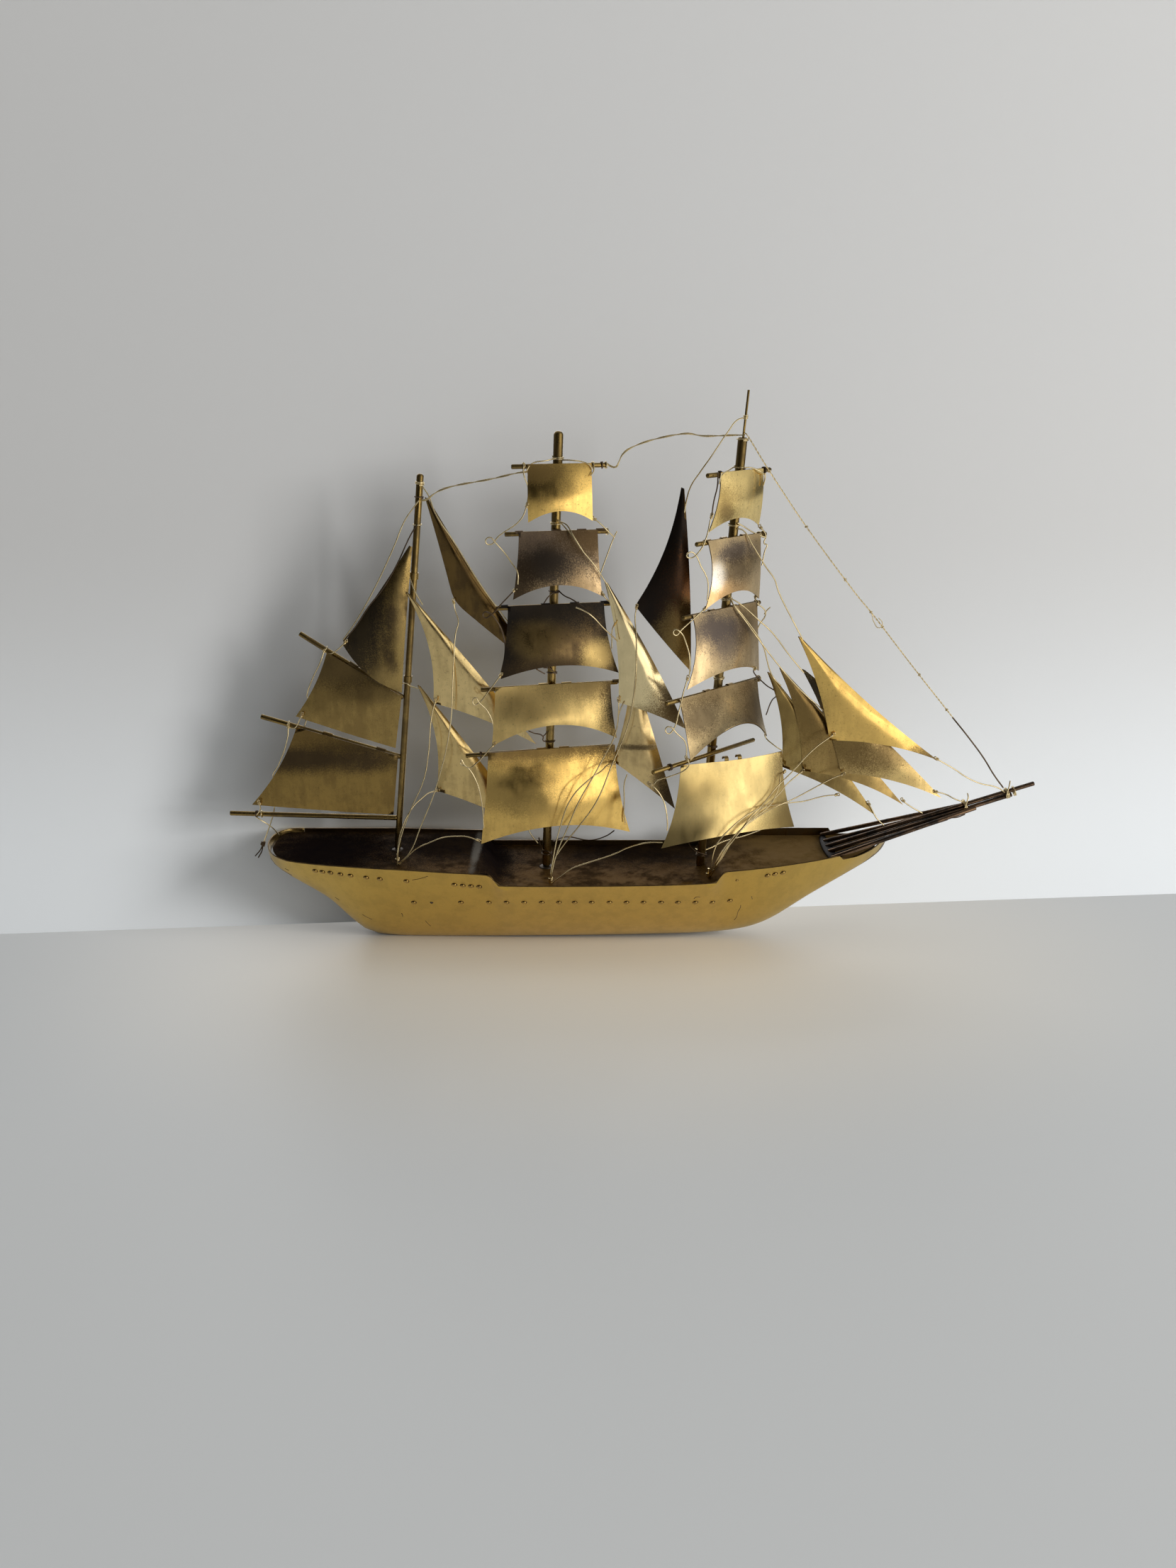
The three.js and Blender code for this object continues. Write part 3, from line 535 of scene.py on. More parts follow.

# %% [markdown]
# ## Sails
# Each sail gets its own finish, because each has tarnished in its own way. Some patches are
# painted reflections, like the two olive ones on the main course. The list below is read
# from the top of each mast down.

# %% Sails
SAILS = {
    "main_royal": dict(metal=GOLD, tarnish=0.2, freckles=0.5, shine=0.2, patches=[
        (0.15, 0.8, 0.6, 0.4, OLIVE, 0.85), (0.15, 0.95, 0.4, 0.25, BROWN, 0.6)]),
    "main_topgallant": dict(metal=(0.55, 0.39, 0.21), tarnish=0.5, freckles=0.7, patches=[
        (0.3, 0.8, 0.85, 0.5, (0.12, 0.085, 0.06), 0.9), (0.42, 0.5, 0.36, 0.35, BLACK, 0.85),
        (0.05, 0.15, 0.2, 0.5, UMBER, 0.9), (0.9, 0.9, 0.4, 0.25, BROWN, 0.8)]),
    "main_upper_topsail": dict(metal=(0.16, 0.105, 0.045), tarnish=0.5, stain=UMBER, freckles=0.7, patches=[
        (0.3, 0.95, 1.0, 0.3, BLACK, 0.9), (0.0, 0.5, 0.2, 0.8, BLACK, 0.9),
        (1.0, 0.7, 0.2, 0.8, BLACK, 0.95), (0.45, 0.1, 0.5, 0.15, UMBER, 0.8),
        (0.82, 0.25, 0.14, 0.2, STRAW, 0.75), (0.3, 0.55, 0.2, 0.2, OLIVE, 0.4)]),
    "main_lower_topsail": dict(metal=(0.86, 0.62, 0.24), tarnish=0.25, shine=0.36, patches=[
        (1.0, 0.6, 0.13, 0.7, BLACK, 0.95), (0.8, 1.0, 0.35, 0.3, BROWN, 0.6)]),
    # The two olive patches of the main course are a painted reflection of a dark figure in front of the
    # ship; its brown band at the head is tarnish.
    "main_course": dict(metal=GOLD, tarnish=0.25, shine=0.15, patches=[
        (0.4, 1.0, 0.8, 0.12, BROWN, 0.8), (0.2, 0.6, 0.3, 0.22, OLIVE, 0.8),
        (0.42, 0.4, 0.22, 0.12, OLIVE, 0.6), (0.97, 0.95, 0.2, 0.2, UMBER, 0.8)]),
    "fore_royal": dict(metal=(0.95, 0.72, 0.30), tarnish=0.25, freckles=0.5, shine=0.2, patches=[
        (0.25, 0.45, 0.3, 0.35, OLIVE, 0.8), (0.3, 0.3, 0.12, 0.2, BROWN, 0.6)]),
    "fore_topgallant": dict(metal=COPPERY, tarnish=0.3, freckles=0.5, shine=0.25, patches=[
        (0.3, 0.2, 0.4, 0.22, RUST, 0.5), (0.2, 0.5, 0.14, 0.2, SILVERY, 0.8),
        (0.5, 0.78, 0.35, 0.16, VIOLET, 0.9), (0.55, 0.55, 0.28, 0.25, UMBER, 0.8)]),
    "fore_upper_topsail": dict(metal=COPPERY, tarnish=0.35, freckles=0.6, shine=0.25, patches=[
        (0.42, 0.75, 0.38, 0.22, VIOLET, 0.95), (0.5, 0.55, 0.22, 0.25, VIOLET, 0.8),
        (0.85, 0.7, 0.2, 0.6, BROWN, 0.5)]),
    "fore_lower_topsail": dict(metal=(0.76, 0.57, 0.30), tarnish=0.35, freckles=0.6, shine=0.24, patches=[
        (0.25, 0.65, 0.25, 0.3, UMBER, 0.75), (0.85, 0.6, 0.2, 0.5, UMBER, 0.8),
        (0.5, 0.95, 0.6, 0.15, BROWN, 0.5)]),
    "fore_course": dict(metal=PALE, tarnish=0.2, freckles=0.15, shine=0.33, patches=[
        (1.0, 0.85, 0.16, 0.22, BROWN, 0.9), (0.95, 0.15, 0.25, 0.2, OLIVE, 0.7),
        (0.2, 0.75, 0.25, 0.2, STRAW, 0.5)]),
    "gaff_topsail": dict(metal=(0.46, 0.31, 0.10), tarnish=0.85, stain=UMBER, freckles=0.1,
                         shine=0.18, patches=[
        (0.2, 0.6, 0.55, 0.7, BLACK, 0.93), (0.8, 0.3, 0.08, 0.35, STRAW, 0.5),
        (0.85, 0.08, 0.4, 0.12, STRAW, 0.6)]),
    "upper_spanker": dict(metal=(0.42, 0.285, 0.095), tarnish=0.4, patches=[
        (0.45, 0.85, 0.6, 0.2, UMBER, 0.7), (0.7, 0.6, 0.3, 0.12, UMBER, 0.5)]),
    "lower_spanker": dict(metal=(0.36, 0.235, 0.07), tarnish=0.4, patches=[
        (0.4, 0.65, 0.7, 0.14, UMBER, 0.9), (0.8, 0.8, 0.4, 0.08, UMBER, 0.6),
        (0.3, 0.95, 0.5, 0.15, BRONZE, 0.7)]),
    "mizzen_upper_staysail": dict(metal=BRONZE, tarnish=0.5, stain=UMBER, freckles=0.1, shine=0.18),
    "mizzen_middle_staysail": dict(metal=(0.88, 0.66, 0.30), tarnish=0.25, freckles=0.4, shine=0.17),
    "mizzen_lower_staysail": dict(metal=(0.78, 0.57, 0.24), tarnish=0.3, shine=0.2),
    "main_upper_staysail": dict(metal=(0.12, 0.05, 0.016), tarnish=0.6, stain=BLACK, freckles=0.2,
                                shine=0.2, patches=[
        (0.15, 0.5, 0.6, 1.0, BLACK, 0.9), (0.7, 0.95, 0.6, 0.3, BLACK, 0.9),
        (0.8, 0.12, 0.4, 0.2, OLIVE, 0.7)]),
    "main_middle_staysail": dict(metal=(0.94, 0.77, 0.43), tarnish=0.12, freckles=0.15, shine=0.14, patches=[
        (0.95, 0.2, 0.3, 0.25, BROWN, 0.9), (0.55, 0.08, 0.4, 0.08, BRONZE, 0.7)]),
    "main_lower_staysail": dict(metal=(0.78, 0.58, 0.27), tarnish=0.3, shine=0.16, patches=[
        (0.4, 0.52, 0.3, 0.025, UMBER, 0.8), (0.95, 0.15, 0.25, 0.35, UMBER, 0.95),
        (0.2, 0.05, 0.4, 0.1, BRONZE, 0.6)]),
    "inner_jib": dict(metal=(0.44, 0.31, 0.11), tarnish=0.5, freckles=0.3, patches=[
        (0.15, 0.85, 0.2, 0.3, OLIVE, 0.7)]),
    "middle_jib": dict(metal=(0.50, 0.34, 0.12), tarnish=0.4, freckles=0.3, patches=[
        (0.3, 0.75, 0.3, 0.35, BRONZE, 0.75)]),
    "outer_jib": dict(metal=(0.86, 0.62, 0.25), tarnish=0.3, freckles=0.6, shine=0.18, patches=[
        (0.1, 0.85, 0.28, 0.35, BLACK, 0.95), (0.3, 0.45, 0.3, 0.3, BRONZE, 0.85),
        (0.62, 0.35, 0.25, 0.12, BROWN, 0.6)]),
    "flying_jib": dict(metal=GOLD, tarnish=0.2, freckles=0.45, shine=0.17, patches=[
        (0.1, 0.35, 0.12, 0.2, OLIVE, 0.9), (0.97, 0.03, 0.16, 0.1, UMBER, 0.8)]),
}
print("sails:", len(SAILS))

# %% Bend the sails
SAIL_SHEET = 0.8 * MM
PATTERN_SHIFT = 0.37  # so that no two sails show the same clouds
DENT = 0.8  # how deep the dents are, in mm
DEEPER_DENTS = {"fore_course": 1.5, "main_course": 1.2}
for number, (node, look) in enumerate(SAILS.items()):
    finish = brass(node + "_brass", box=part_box(node), seed=number * PATTERN_SHIFT, **look)
    sheet(node, finish, SAIL_SHEET, DEEPER_DENTS.get(node, DENT))
print("sails bent:", len(SAILS))

# %% [markdown]
# ## Hull
# The hull is one long bent plate, riveted to a flat back plate. The side plate is satin
# brass. The deck and the inside have gone nearly black. The rim steps down steeply behind
# the mizzen deck and up again at the fore deck, so the points of each step are pulled
# together.

# %% Side plate
HULL_SHEET = 0.9 * MM
HULL_CORNER = 12  # degrees by which the outline turns at a corner
hull_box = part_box("hull_side_plate")
hull_finish = brass("hull_side_brass", (0.63, 0.435, 0.105), tarnish=0.14, freckles=0.15, shine=0.32)
# The straw patch high up at the stern end of the inside is a painted highlight on the inner rim.
inside_finish = brass("hull_inside_brass", BRONZE, hull_box, tarnish=0.8, stain=UMBER, shine=0.3, patches=[
    (0.5, 0.4, 1.0, 0.35, BLACK, 0.9), (0.03, 0.9, 0.06, 0.12, STRAW, 0.9)])
RIM_STEPS = [
    ((-61, 29), (-61, 30)), ((-51.5, 22), (-54.8, 22)), ((100.5, 23.2), (101.3, 22.3)),
    ((110, 30.6), (107, 30.4)), ((192, 32.2), (194.5, 32.8)), ((200.2, 27.5), (198.5, 28)),
]
sheet("hull_side_plate", hull_finish, HULL_SHEET, 0, HULL_CORNER, inside_finish, RIM_STEPS)
print("steps in the rim:", len(RIM_STEPS))

# %% Deck and back plate
deck_finish = brass(
    "deck_brass", (0.10, 0.052, 0.012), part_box("deck"), tarnish=0.7, stain=SOOT, shine=0.42,
    dull=0.6, bare_metal=0.25, dark_metal=0.0, freckles=0.6, lying=True, patches=[
        (0.09, 0.5, 0.15, 0.7, SOOT, 0.97), (0.29, 0.7, 0.1, 0.5, SOOT, 0.85),
        (0.36, 0.5, 0.03, 1.0, SOOT, 0.9), (0.62, 0.9, 0.2, 0.4, SOOT, 0.85),
        (0.9, 0.5, 0.15, 1.0, BRONZE, 0.6), (0.333, 0.5, 0.006, 0.42, (0.2, 0.185, 0.16), 0.6)])
deck_finish.node_tree.nodes["Principled BSDF"].inputs["Specular IOR Level"].default_value = 0
sheet("deck", deck_finish, HULL_SHEET, 0, HULL_CORNER)
back_finish = brass("back_plate_brass", BRONZE, hull_box, tarnish=0.7, stain=UMBER, shine=0.34, patches=[
    (0.5, 0.45, 1.0, 0.35, BLACK, 0.9)])
for node in ("hull_back_plate", "hull_bottom"):
    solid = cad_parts[node]
    solid.data.materials.clear()
    solid.data.materials.append(back_finish)
print("hull plates done")

# %% [markdown]
# ## Masts, yards and spars
# These are cut from round rod. A cylinder is added between the two ends of each solid
# rod, and the rims of its ends are bevelled.

# %% Helpers for rods
END_DEPTH = 0.9 * MM  # the points this close to an end belong to its rim


def rod_ends(node):
    """The two end points of a rod, measured on its solid."""
    points = {tuple(round(x, 6) for x in v.co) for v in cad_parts[node].data.vertices}
    points = [Vector(p) for p in points]
    middle = sum(points, Vector()) / len(points)
    tip = max(points, key=lambda p: (p - middle).length)
    other = max(points, key=lambda p: (p - tip).length)
    along = (other - tip).normalized()
    rims = [[p for p in points if abs((p - end).dot(along)) < END_DEPTH] for end in (tip, other)]
    return [sum(rim, Vector()) / len(rim) for rim in rims]


def rod(name, start, end, radius, finish, slot, rounding=0.35, segments=2):
    along = end - start
    deselect()
    bpy.ops.mesh.primitive_cylinder_add(
        vertices=28, radius=radius, depth=along.length, location=(start + end) / 2,
        rotation=along.to_track_quat("Z", "Y").to_euler())
    piece = bpy.context.object
    piece.name = name
    bpy.ops.object.transform_apply(location=True, rotation=True, scale=True)
    piece.data.materials.append(finish)
    edit_sharp_edges(60)
    bpy.ops.mesh.bevel(offset=radius * rounding, segments=segments, affect="EDGES")
    stop_editing()
    smooth_faces(piece, 50)
    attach(piece, "root")
    return piece


MAST_RADIUS = 3.175 * MM
MIZZEN_RADIUS = 2.38 * MM
SPAR_RADIUS = 1.5875 * MM
GAFF_RADIUS = 1.85 * MM
POLE_RADIUS = 0.8 * MM
print("masts are", 2 * MAST_RADIUS / MM, "mm thick")

# %% Rods
rod_finish = brass("rod_brass", OLIVE, tarnish=0.6, stain=UMBER, freckles=0.4, shine=0.24)
dark_rod_finish = brass(
    "dark_rod_brass", (0.20, 0.125, 0.075), tarnish=0.95, stain=BLACK, freckles=0.4, shine=0.2, dull=0.35)
# Soot black: the colour of the solder at the bowsprit root, and painted shade on the rods that fill the gaps
# between the bowsprit rods.
soot_and_shade_finish = brass("soot_and_shade_brass", BLACK, tarnish=0.8, stain=SOOT, shine=0.5)
soot_and_shade_finish.node_tree.nodes["Principled BSDF"].inputs["Specular IOR Level"].default_value = 0.1

MIZZEN_SPARS = ("boom", "lower_gaff", "upper_gaff")
POLE_SOCKET = Vector((0, 0, 4 * MM))  # the pole is let into the mast below it
SPAR_JOINT = 1.2 * MM  # the mizzen spars are soldered to the mast over this length
RODS = {"mizzen_mast": MIZZEN_RADIUS, "main_mast": MAST_RADIUS, "fore_mast": MAST_RADIUS,
        "fore_pole": POLE_RADIUS}
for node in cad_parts:
    if node.endswith("_yard") or node.startswith("bowsprit_rod"):
        RODS[node] = SPAR_RADIUS
    elif node in MIZZEN_SPARS:
        RODS[node] = GAFF_RADIUS
rods = {}
for node, radius in RODS.items():
    low, high = rod_ends(node)
    look = (rod_finish, "aged_brass")
    if node.startswith("bowsprit"):
        look = (dark_rod_finish, "dark_brass")
    if node == "fore_pole":
        foot, tip = sorted((low, high), key=lambda end: end.z)
        low, high = foot - POLE_SOCKET, tip
    if node in MIZZEN_SPARS:
        tip, foot = sorted((low, high), key=lambda end: end.x)
        low, high = tip, foot + (foot - tip).normalized() * SPAR_JOINT
    rounding = (0.8, 5) if node in ("main_mast", "mizzen_mast") else ()
    piece = rod(node + "_rod", low, high, radius, *look, *rounding)
    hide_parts(node)
    rods[node] = (low, high)
print("rods:", len(rods))

# %% [markdown]
# ## Root of the bowsprit
# The rods of the bowsprit are soldered side by side. A few short rods lie low in the gaps
# between them, and their black finish is painted shade in those gaps, so that the root is
# one dark bundle.

# %% Thin rods between the bowsprit rods
FILLER_DROP = Vector((0, 0, 1.5 * MM))
FILLER_SHARE = 0.72  # of the way to the tips


def ordered(node):
    """The ends of a rod, the one further aft first."""
    return sorted(rods[node], key=lambda end: end.x)


for number, (one, other) in enumerate(((3, 1), (1, 2), (2, 4))):
    (foot, tip), (foot_2, tip_2) = ordered(f"bowsprit_rod_{one}"), ordered(f"bowsprit_rod_{other}")
    start = (foot + foot_2) / 2
    end = start.lerp((tip + tip_2) / 2, FILLER_SHARE)
    name = f"bowsprit_filler_{number + 1}"
    rod(name, start - FILLER_DROP, end - FILLER_DROP, SPAR_RADIUS, soot_and_shade_finish, "dark_brass")
print("thin rods: 3")

# %% [markdown]
# ## Wire
# The rigging is soft brass wire, bent by hand between the sails. A wire follows a smooth
# curve through a few given points, in millimetres. The curve gets a round section and is
# then made a mesh. Some wires are doubled and twisted: two strands wind around the same
# line, like the threads of a screw. A ring or a lashing is a coil around a rod, and a knot
# is a tight coil around a wire.

# %% Helpers for wire
WIRE_RADIUS = 0.46
THIN_WIRE_RADIUS = 0.36
wire_finish = brass("wire_brass", (0.95, 0.78, 0.45), tarnish=0.35, stain=BROWN, shine=0.2)
dark_wire_finish = brass("dark_wire_brass", (0.16, 0.11, 0.07), tarnish=0.7, stain=BLACK, shine=0.35)


def bend_wire(name, points, finish=wire_finish, radius=WIRE_RADIUS, steps=5):
    """A round wire through points in millimetres, as a mesh piece."""
    route = bpy.data.curves.new(name, "CURVE")
    route.dimensions = "3D"
    route.resolution_u = steps
    route.bevel_depth = radius * MM
    route.bevel_resolution = 2
    route.use_fill_caps = True
    line = route.splines.new("BEZIER")
    line.bezier_points.add(len(points) - 1)
    for knot, point in zip(line.bezier_points, points):
        knot.co = Vector(point) * MM
        knot.handle_left_type = knot.handle_right_type = "AUTO"
    piece = bpy.data.objects.new(name, route)
    scene.collection.objects.link(piece)
    select_only(piece)
    bpy.ops.object.convert(target="MESH")
    piece = bpy.context.object
    piece.data.materials.clear()
    piece.data.materials.append(finish)
    smooth_faces(piece, 60)
    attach(piece, "root")
    return piece


def join_pieces(name, pieces):
    deselect()
    for piece in pieces:
        piece.select_set(True)
    bpy.context.view_layer.objects.active = pieces[0]
    bpy.ops.object.join()
    pieces[0].name = name
    return pieces[0]


print("wire is", round(2 * WIRE_RADIUS, 2), "mm thick")

# %% Helpers for twisted wire and coils
COIL_SPACING = 2.1  # from turn to turn, in radii of the wire
COIL_STEPS = 10  # points to a turn


def smooth_route(points, spacing):
    """Closely spaced places on a smooth line through the points, in millimetres."""
    knots = [Vector(point) for point in points]
    knots = [2 * knots[0] - knots[1], *knots, 2 * knots[-1] - knots[-2]]
    places = []
    for a, b, c, d in zip(knots, knots[1:], knots[2:], knots[3:]):
        steps = max(2, round((c - b).length / spacing))
        for step in range(steps):
            t = step / steps
            line = 2 * b + (c - a) * t
            curve = (2 * a - 5 * b + 4 * c - d) * t**2 + (3 * b - a - 3 * c + d) * t**3
            places.append((line + curve) / 2)
    places.append(knots[-2])
    return places


def twist_wires(name, points, pitch=28, radius=THIN_WIRE_RADIUS):
    """Two strands wound around the line through the points, with one turn per pitch."""
    places = smooth_route(points, pitch / 6)
    side = (places[1] - places[0]).orthogonal().normalized()
    strands = ([], [])
    travelled = 0
    for here, ahead in zip(places, places[1:]):
        along = (ahead - here).normalized()
        side = (side - side.dot(along) * along).normalized()
        turn = 2 * math.pi * travelled / pitch
        out = math.cos(turn) * side + math.sin(turn) * along.cross(side)
        strands[0].append(here + out * radius)
        strands[1].append(here - out * radius)
        travelled += (ahead - here).length
    strands[0].append(places[-1] + out * radius)
    strands[1].append(places[-1] - out * radius)
    wires = [bend_wire(name + "_strand", strand, wire_finish, radius, 2) for strand in strands]
    return join_pieces(name, wires)


def coil(name, centre, along, inner, turns=1.2, finish=wire_finish, radius=WIRE_RADIUS,
         start=0.0, before=()):
    """A helix of wire around a rod. The points before it are its tail."""
    along = Vector(along).normalized()
    side = Vector((0, -1, 0))
    side = (side - side.dot(along) * along).normalized()
    across = along.cross(side)
    places = []
    for step in range(round(turns * COIL_STEPS) + 1):
        turn = 2 * math.pi * (start + step / COIL_STEPS)
        rise = (step / COIL_STEPS - turns / 2) * COIL_SPACING * radius
        out = math.cos(turn) * side + math.sin(turn) * across
        places.append(Vector(centre) + out * (inner + radius) + along * rise)
    return bend_wire(name, [*before, *places], finish, radius, 2)


print("points to a turn of a coil:", COIL_STEPS)

# %% [markdown]
# ## Stays
# Four long wires run along the top: from the mizzen to the main royal yard, from there to
# the fore mast, from its pole to the upper staysail, and down to the bowsprit. Three are
# twisted pairs, and the fore stay has a few knots. They keep to the routes of the solids
# that they replace.

# %% Stays
FORE_STAY = [(112.5, -45, 331), (115.5, -45, 328), (130, -43.5, 307), (158, -43, 269), (193, -42, 226),
             (209, -41, 208), (242, -38, 169), (274, -36, 132)]
FORE_STAY_FOOT = [(273, -36, 133), (287, -35, 117), (300, -34, 101), (309, -34, 88), (317, -34, 78)]
fore_stay = twist_wires("fore_stay_wire", FORE_STAY, pitch=6, radius=0.25)
fore_stay_foot = bend_wire("fore_stay_foot", FORE_STAY_FOOT, dark_wire_finish, 0.55)
fore_stay = join_pieces("fore_stay_wire", [fore_stay, fore_stay_foot])
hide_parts("fore_stay")

mizzen_stay = twist_wires("mizzen_stay_wire", [
    (-103, -40, 287), (-99, -42.5, 288), (-92, -43, 293), (-80, -43.5, 297), (-56, -46, 301.5),
    (-37, -50, 306), (-26, -51.5, 307)])
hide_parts("mizzen_stay")

main_fore_stay = twist_wires("main_fore_stay_wire", [
    (22, -41, 311), (28, -41, 309), (34, -42, 319), (50, -42.5, 326), (73, -43, 330.5),
    (86, -43, 329), (107, -43.6, 329.6), (112.5, -44.3, 329.7)])
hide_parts("main_fore_stay")

pole_stay = bend_wire("pole_stay_wire", [
    (111, -44.5, 340.5), (107, -45, 339), (102, -44.8, 332.5), (91, -44.8, 316),
    (84, -44.8, 306), (78, -46, 297), (75, -48, 287), (74, -48, 280)])
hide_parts("pole_stay")
print("stays laid")

# %% Knots and loop of the fore stay
KNOT_GRIP = 0.55
KNOT_RADIUS = 0.3
line = smooth_route(FORE_STAY, 1)
for number, share in enumerate((0.12, 0.3, 0.47, 0.6, 0.66, 0.83, 0.97)):
    place = round(share * (len(line) - 2))
    coil(f"fore_stay_knot_{number + 1}", line[place], line[place + 1] - line[place], KNOT_GRIP, 1.6,
         radius=KNOT_RADIUS, start=0.3 * number)
LOOP = [(207, -41.5, 210), (209, -42, 204), (213, -42.5, 200), (215, -42, 203), (212, -41.5, 207)]
bend_wire("fore_stay_loop", LOOP, radius=KNOT_RADIUS)
print("knots: 7")

# %% [markdown]
# ## Rigging
# The braces and sheets are single wires. Where a brace changes direction it makes one
# small loop, as a wire does that has been turned round the tip of a pair of pliers. The
# sheets of the staysails and jibs all run down to the deck edge beside a mast, where they
# meet like a fan. Each route below is its list of points in millimetres.

# %% Rigging of the mizzen mast
MIZZEN_WIRES = {
    "mizzen_staysail_stay": [(-102, -40, 296), (-98, -41, 290), (-94, -43, 279), (-82, -44, 260),
        (-64, -45, 230), (-46, -44, 204)],
    "aft_topping_line": [(-105, -40, 287), (-109, -40, 282), (-115, -40, 274), (-123, -41, 257),
        (-137, -42, 230), (-153, -44, 204), (-162, -44, 192)],
    "aft_topping_line_2": [(-107, -40, 271), (-111, -41, 265), (-122, -42, 244), (-132, -44, 228),
        (-143, -44, 215), (-153, -45, 201), (-162, -44, 191)],
    "gaff_bridle": [(-160, -45, 191), (-164, -44, 187), (-169, -42, 183), (-173, -40, 181),
        (-177, -39, 182)],
    "upper_leech_wire": [(-177, -40, 183), (-180, -42, 175), (-186, -42, 164), (-191.5, -40.5, 151),
        (-192.5, -34, 145), (-194, -33, 134), (-197, -34.8, 125.5)],
    "lower_gaff_bridle": [(-196, -42, 137), (-198, -42, 133), (-200, -41, 129), (-203, -40, 126),
        (-208, -39, 127)],
    "lower_leech_wire": [(-207, -40, 128), (-208, -42, 119), (-216, -42, 99), (-221.5, -40.5, 90),
        (-222, -34, 84), (-223, -33, 76), (-225, -34, 60), (-229, -30, 50), (-238, -25, 30)],
    "boom_tie": [(-233, -43, 70), (-233, -41, 64), (-237, -39, 58)],
    "stern_wire": [(-237, -40, 57), (-233, -40, 54), (-229, -38, 50), (-226, -35, 45), (-224, -31, 39)],
    "middle_staysail_stay": [(-114, -41, 236), (-110, -45, 226), (-105, -46, 217)],
    "lower_staysail_stay": [(-124, -41, 159), (-120, -42, 160), (-117, -42, 158), (-111, -42, 156)],
    "upper_staysail_sheet": [(-84, -42, 219), (-83, -42, 212), (-81, -44, 205), (-83, -46, 197),
        (-85, -50, 174), (-89, -54, 129), (-100, -58, 87), (-112, -61, 58), (-121, -64, 38),
        (-129, -65, 30)],
    "middle_staysail_sheet": [(-99, -47, 149), (-102, -49, 138), (-105, -52, 112), (-109, -55, 92),
        (-119, -59, 70), (-128, -63, 45), (-130, -65, 30)],
    "lower_staysail_sheet": [(-101, -43, 79), (-107, -45, 78), (-112, -48, 75), (-118, -52, 70),
        (-126, -59, 56), (-129, -63, 43), (-130, -65, 30)],
    "main_course_tack": [(-70, -64, 48), (-78, -64, 51), (-86, -63, 51), (-96, -63, 50), (-106, -63, 46),
        (-115, -64, 42), (-122, -65, 36), (-128, -66, 30)],
}
print("wires of the mizzen mast:", len(MIZZEN_WIRES))

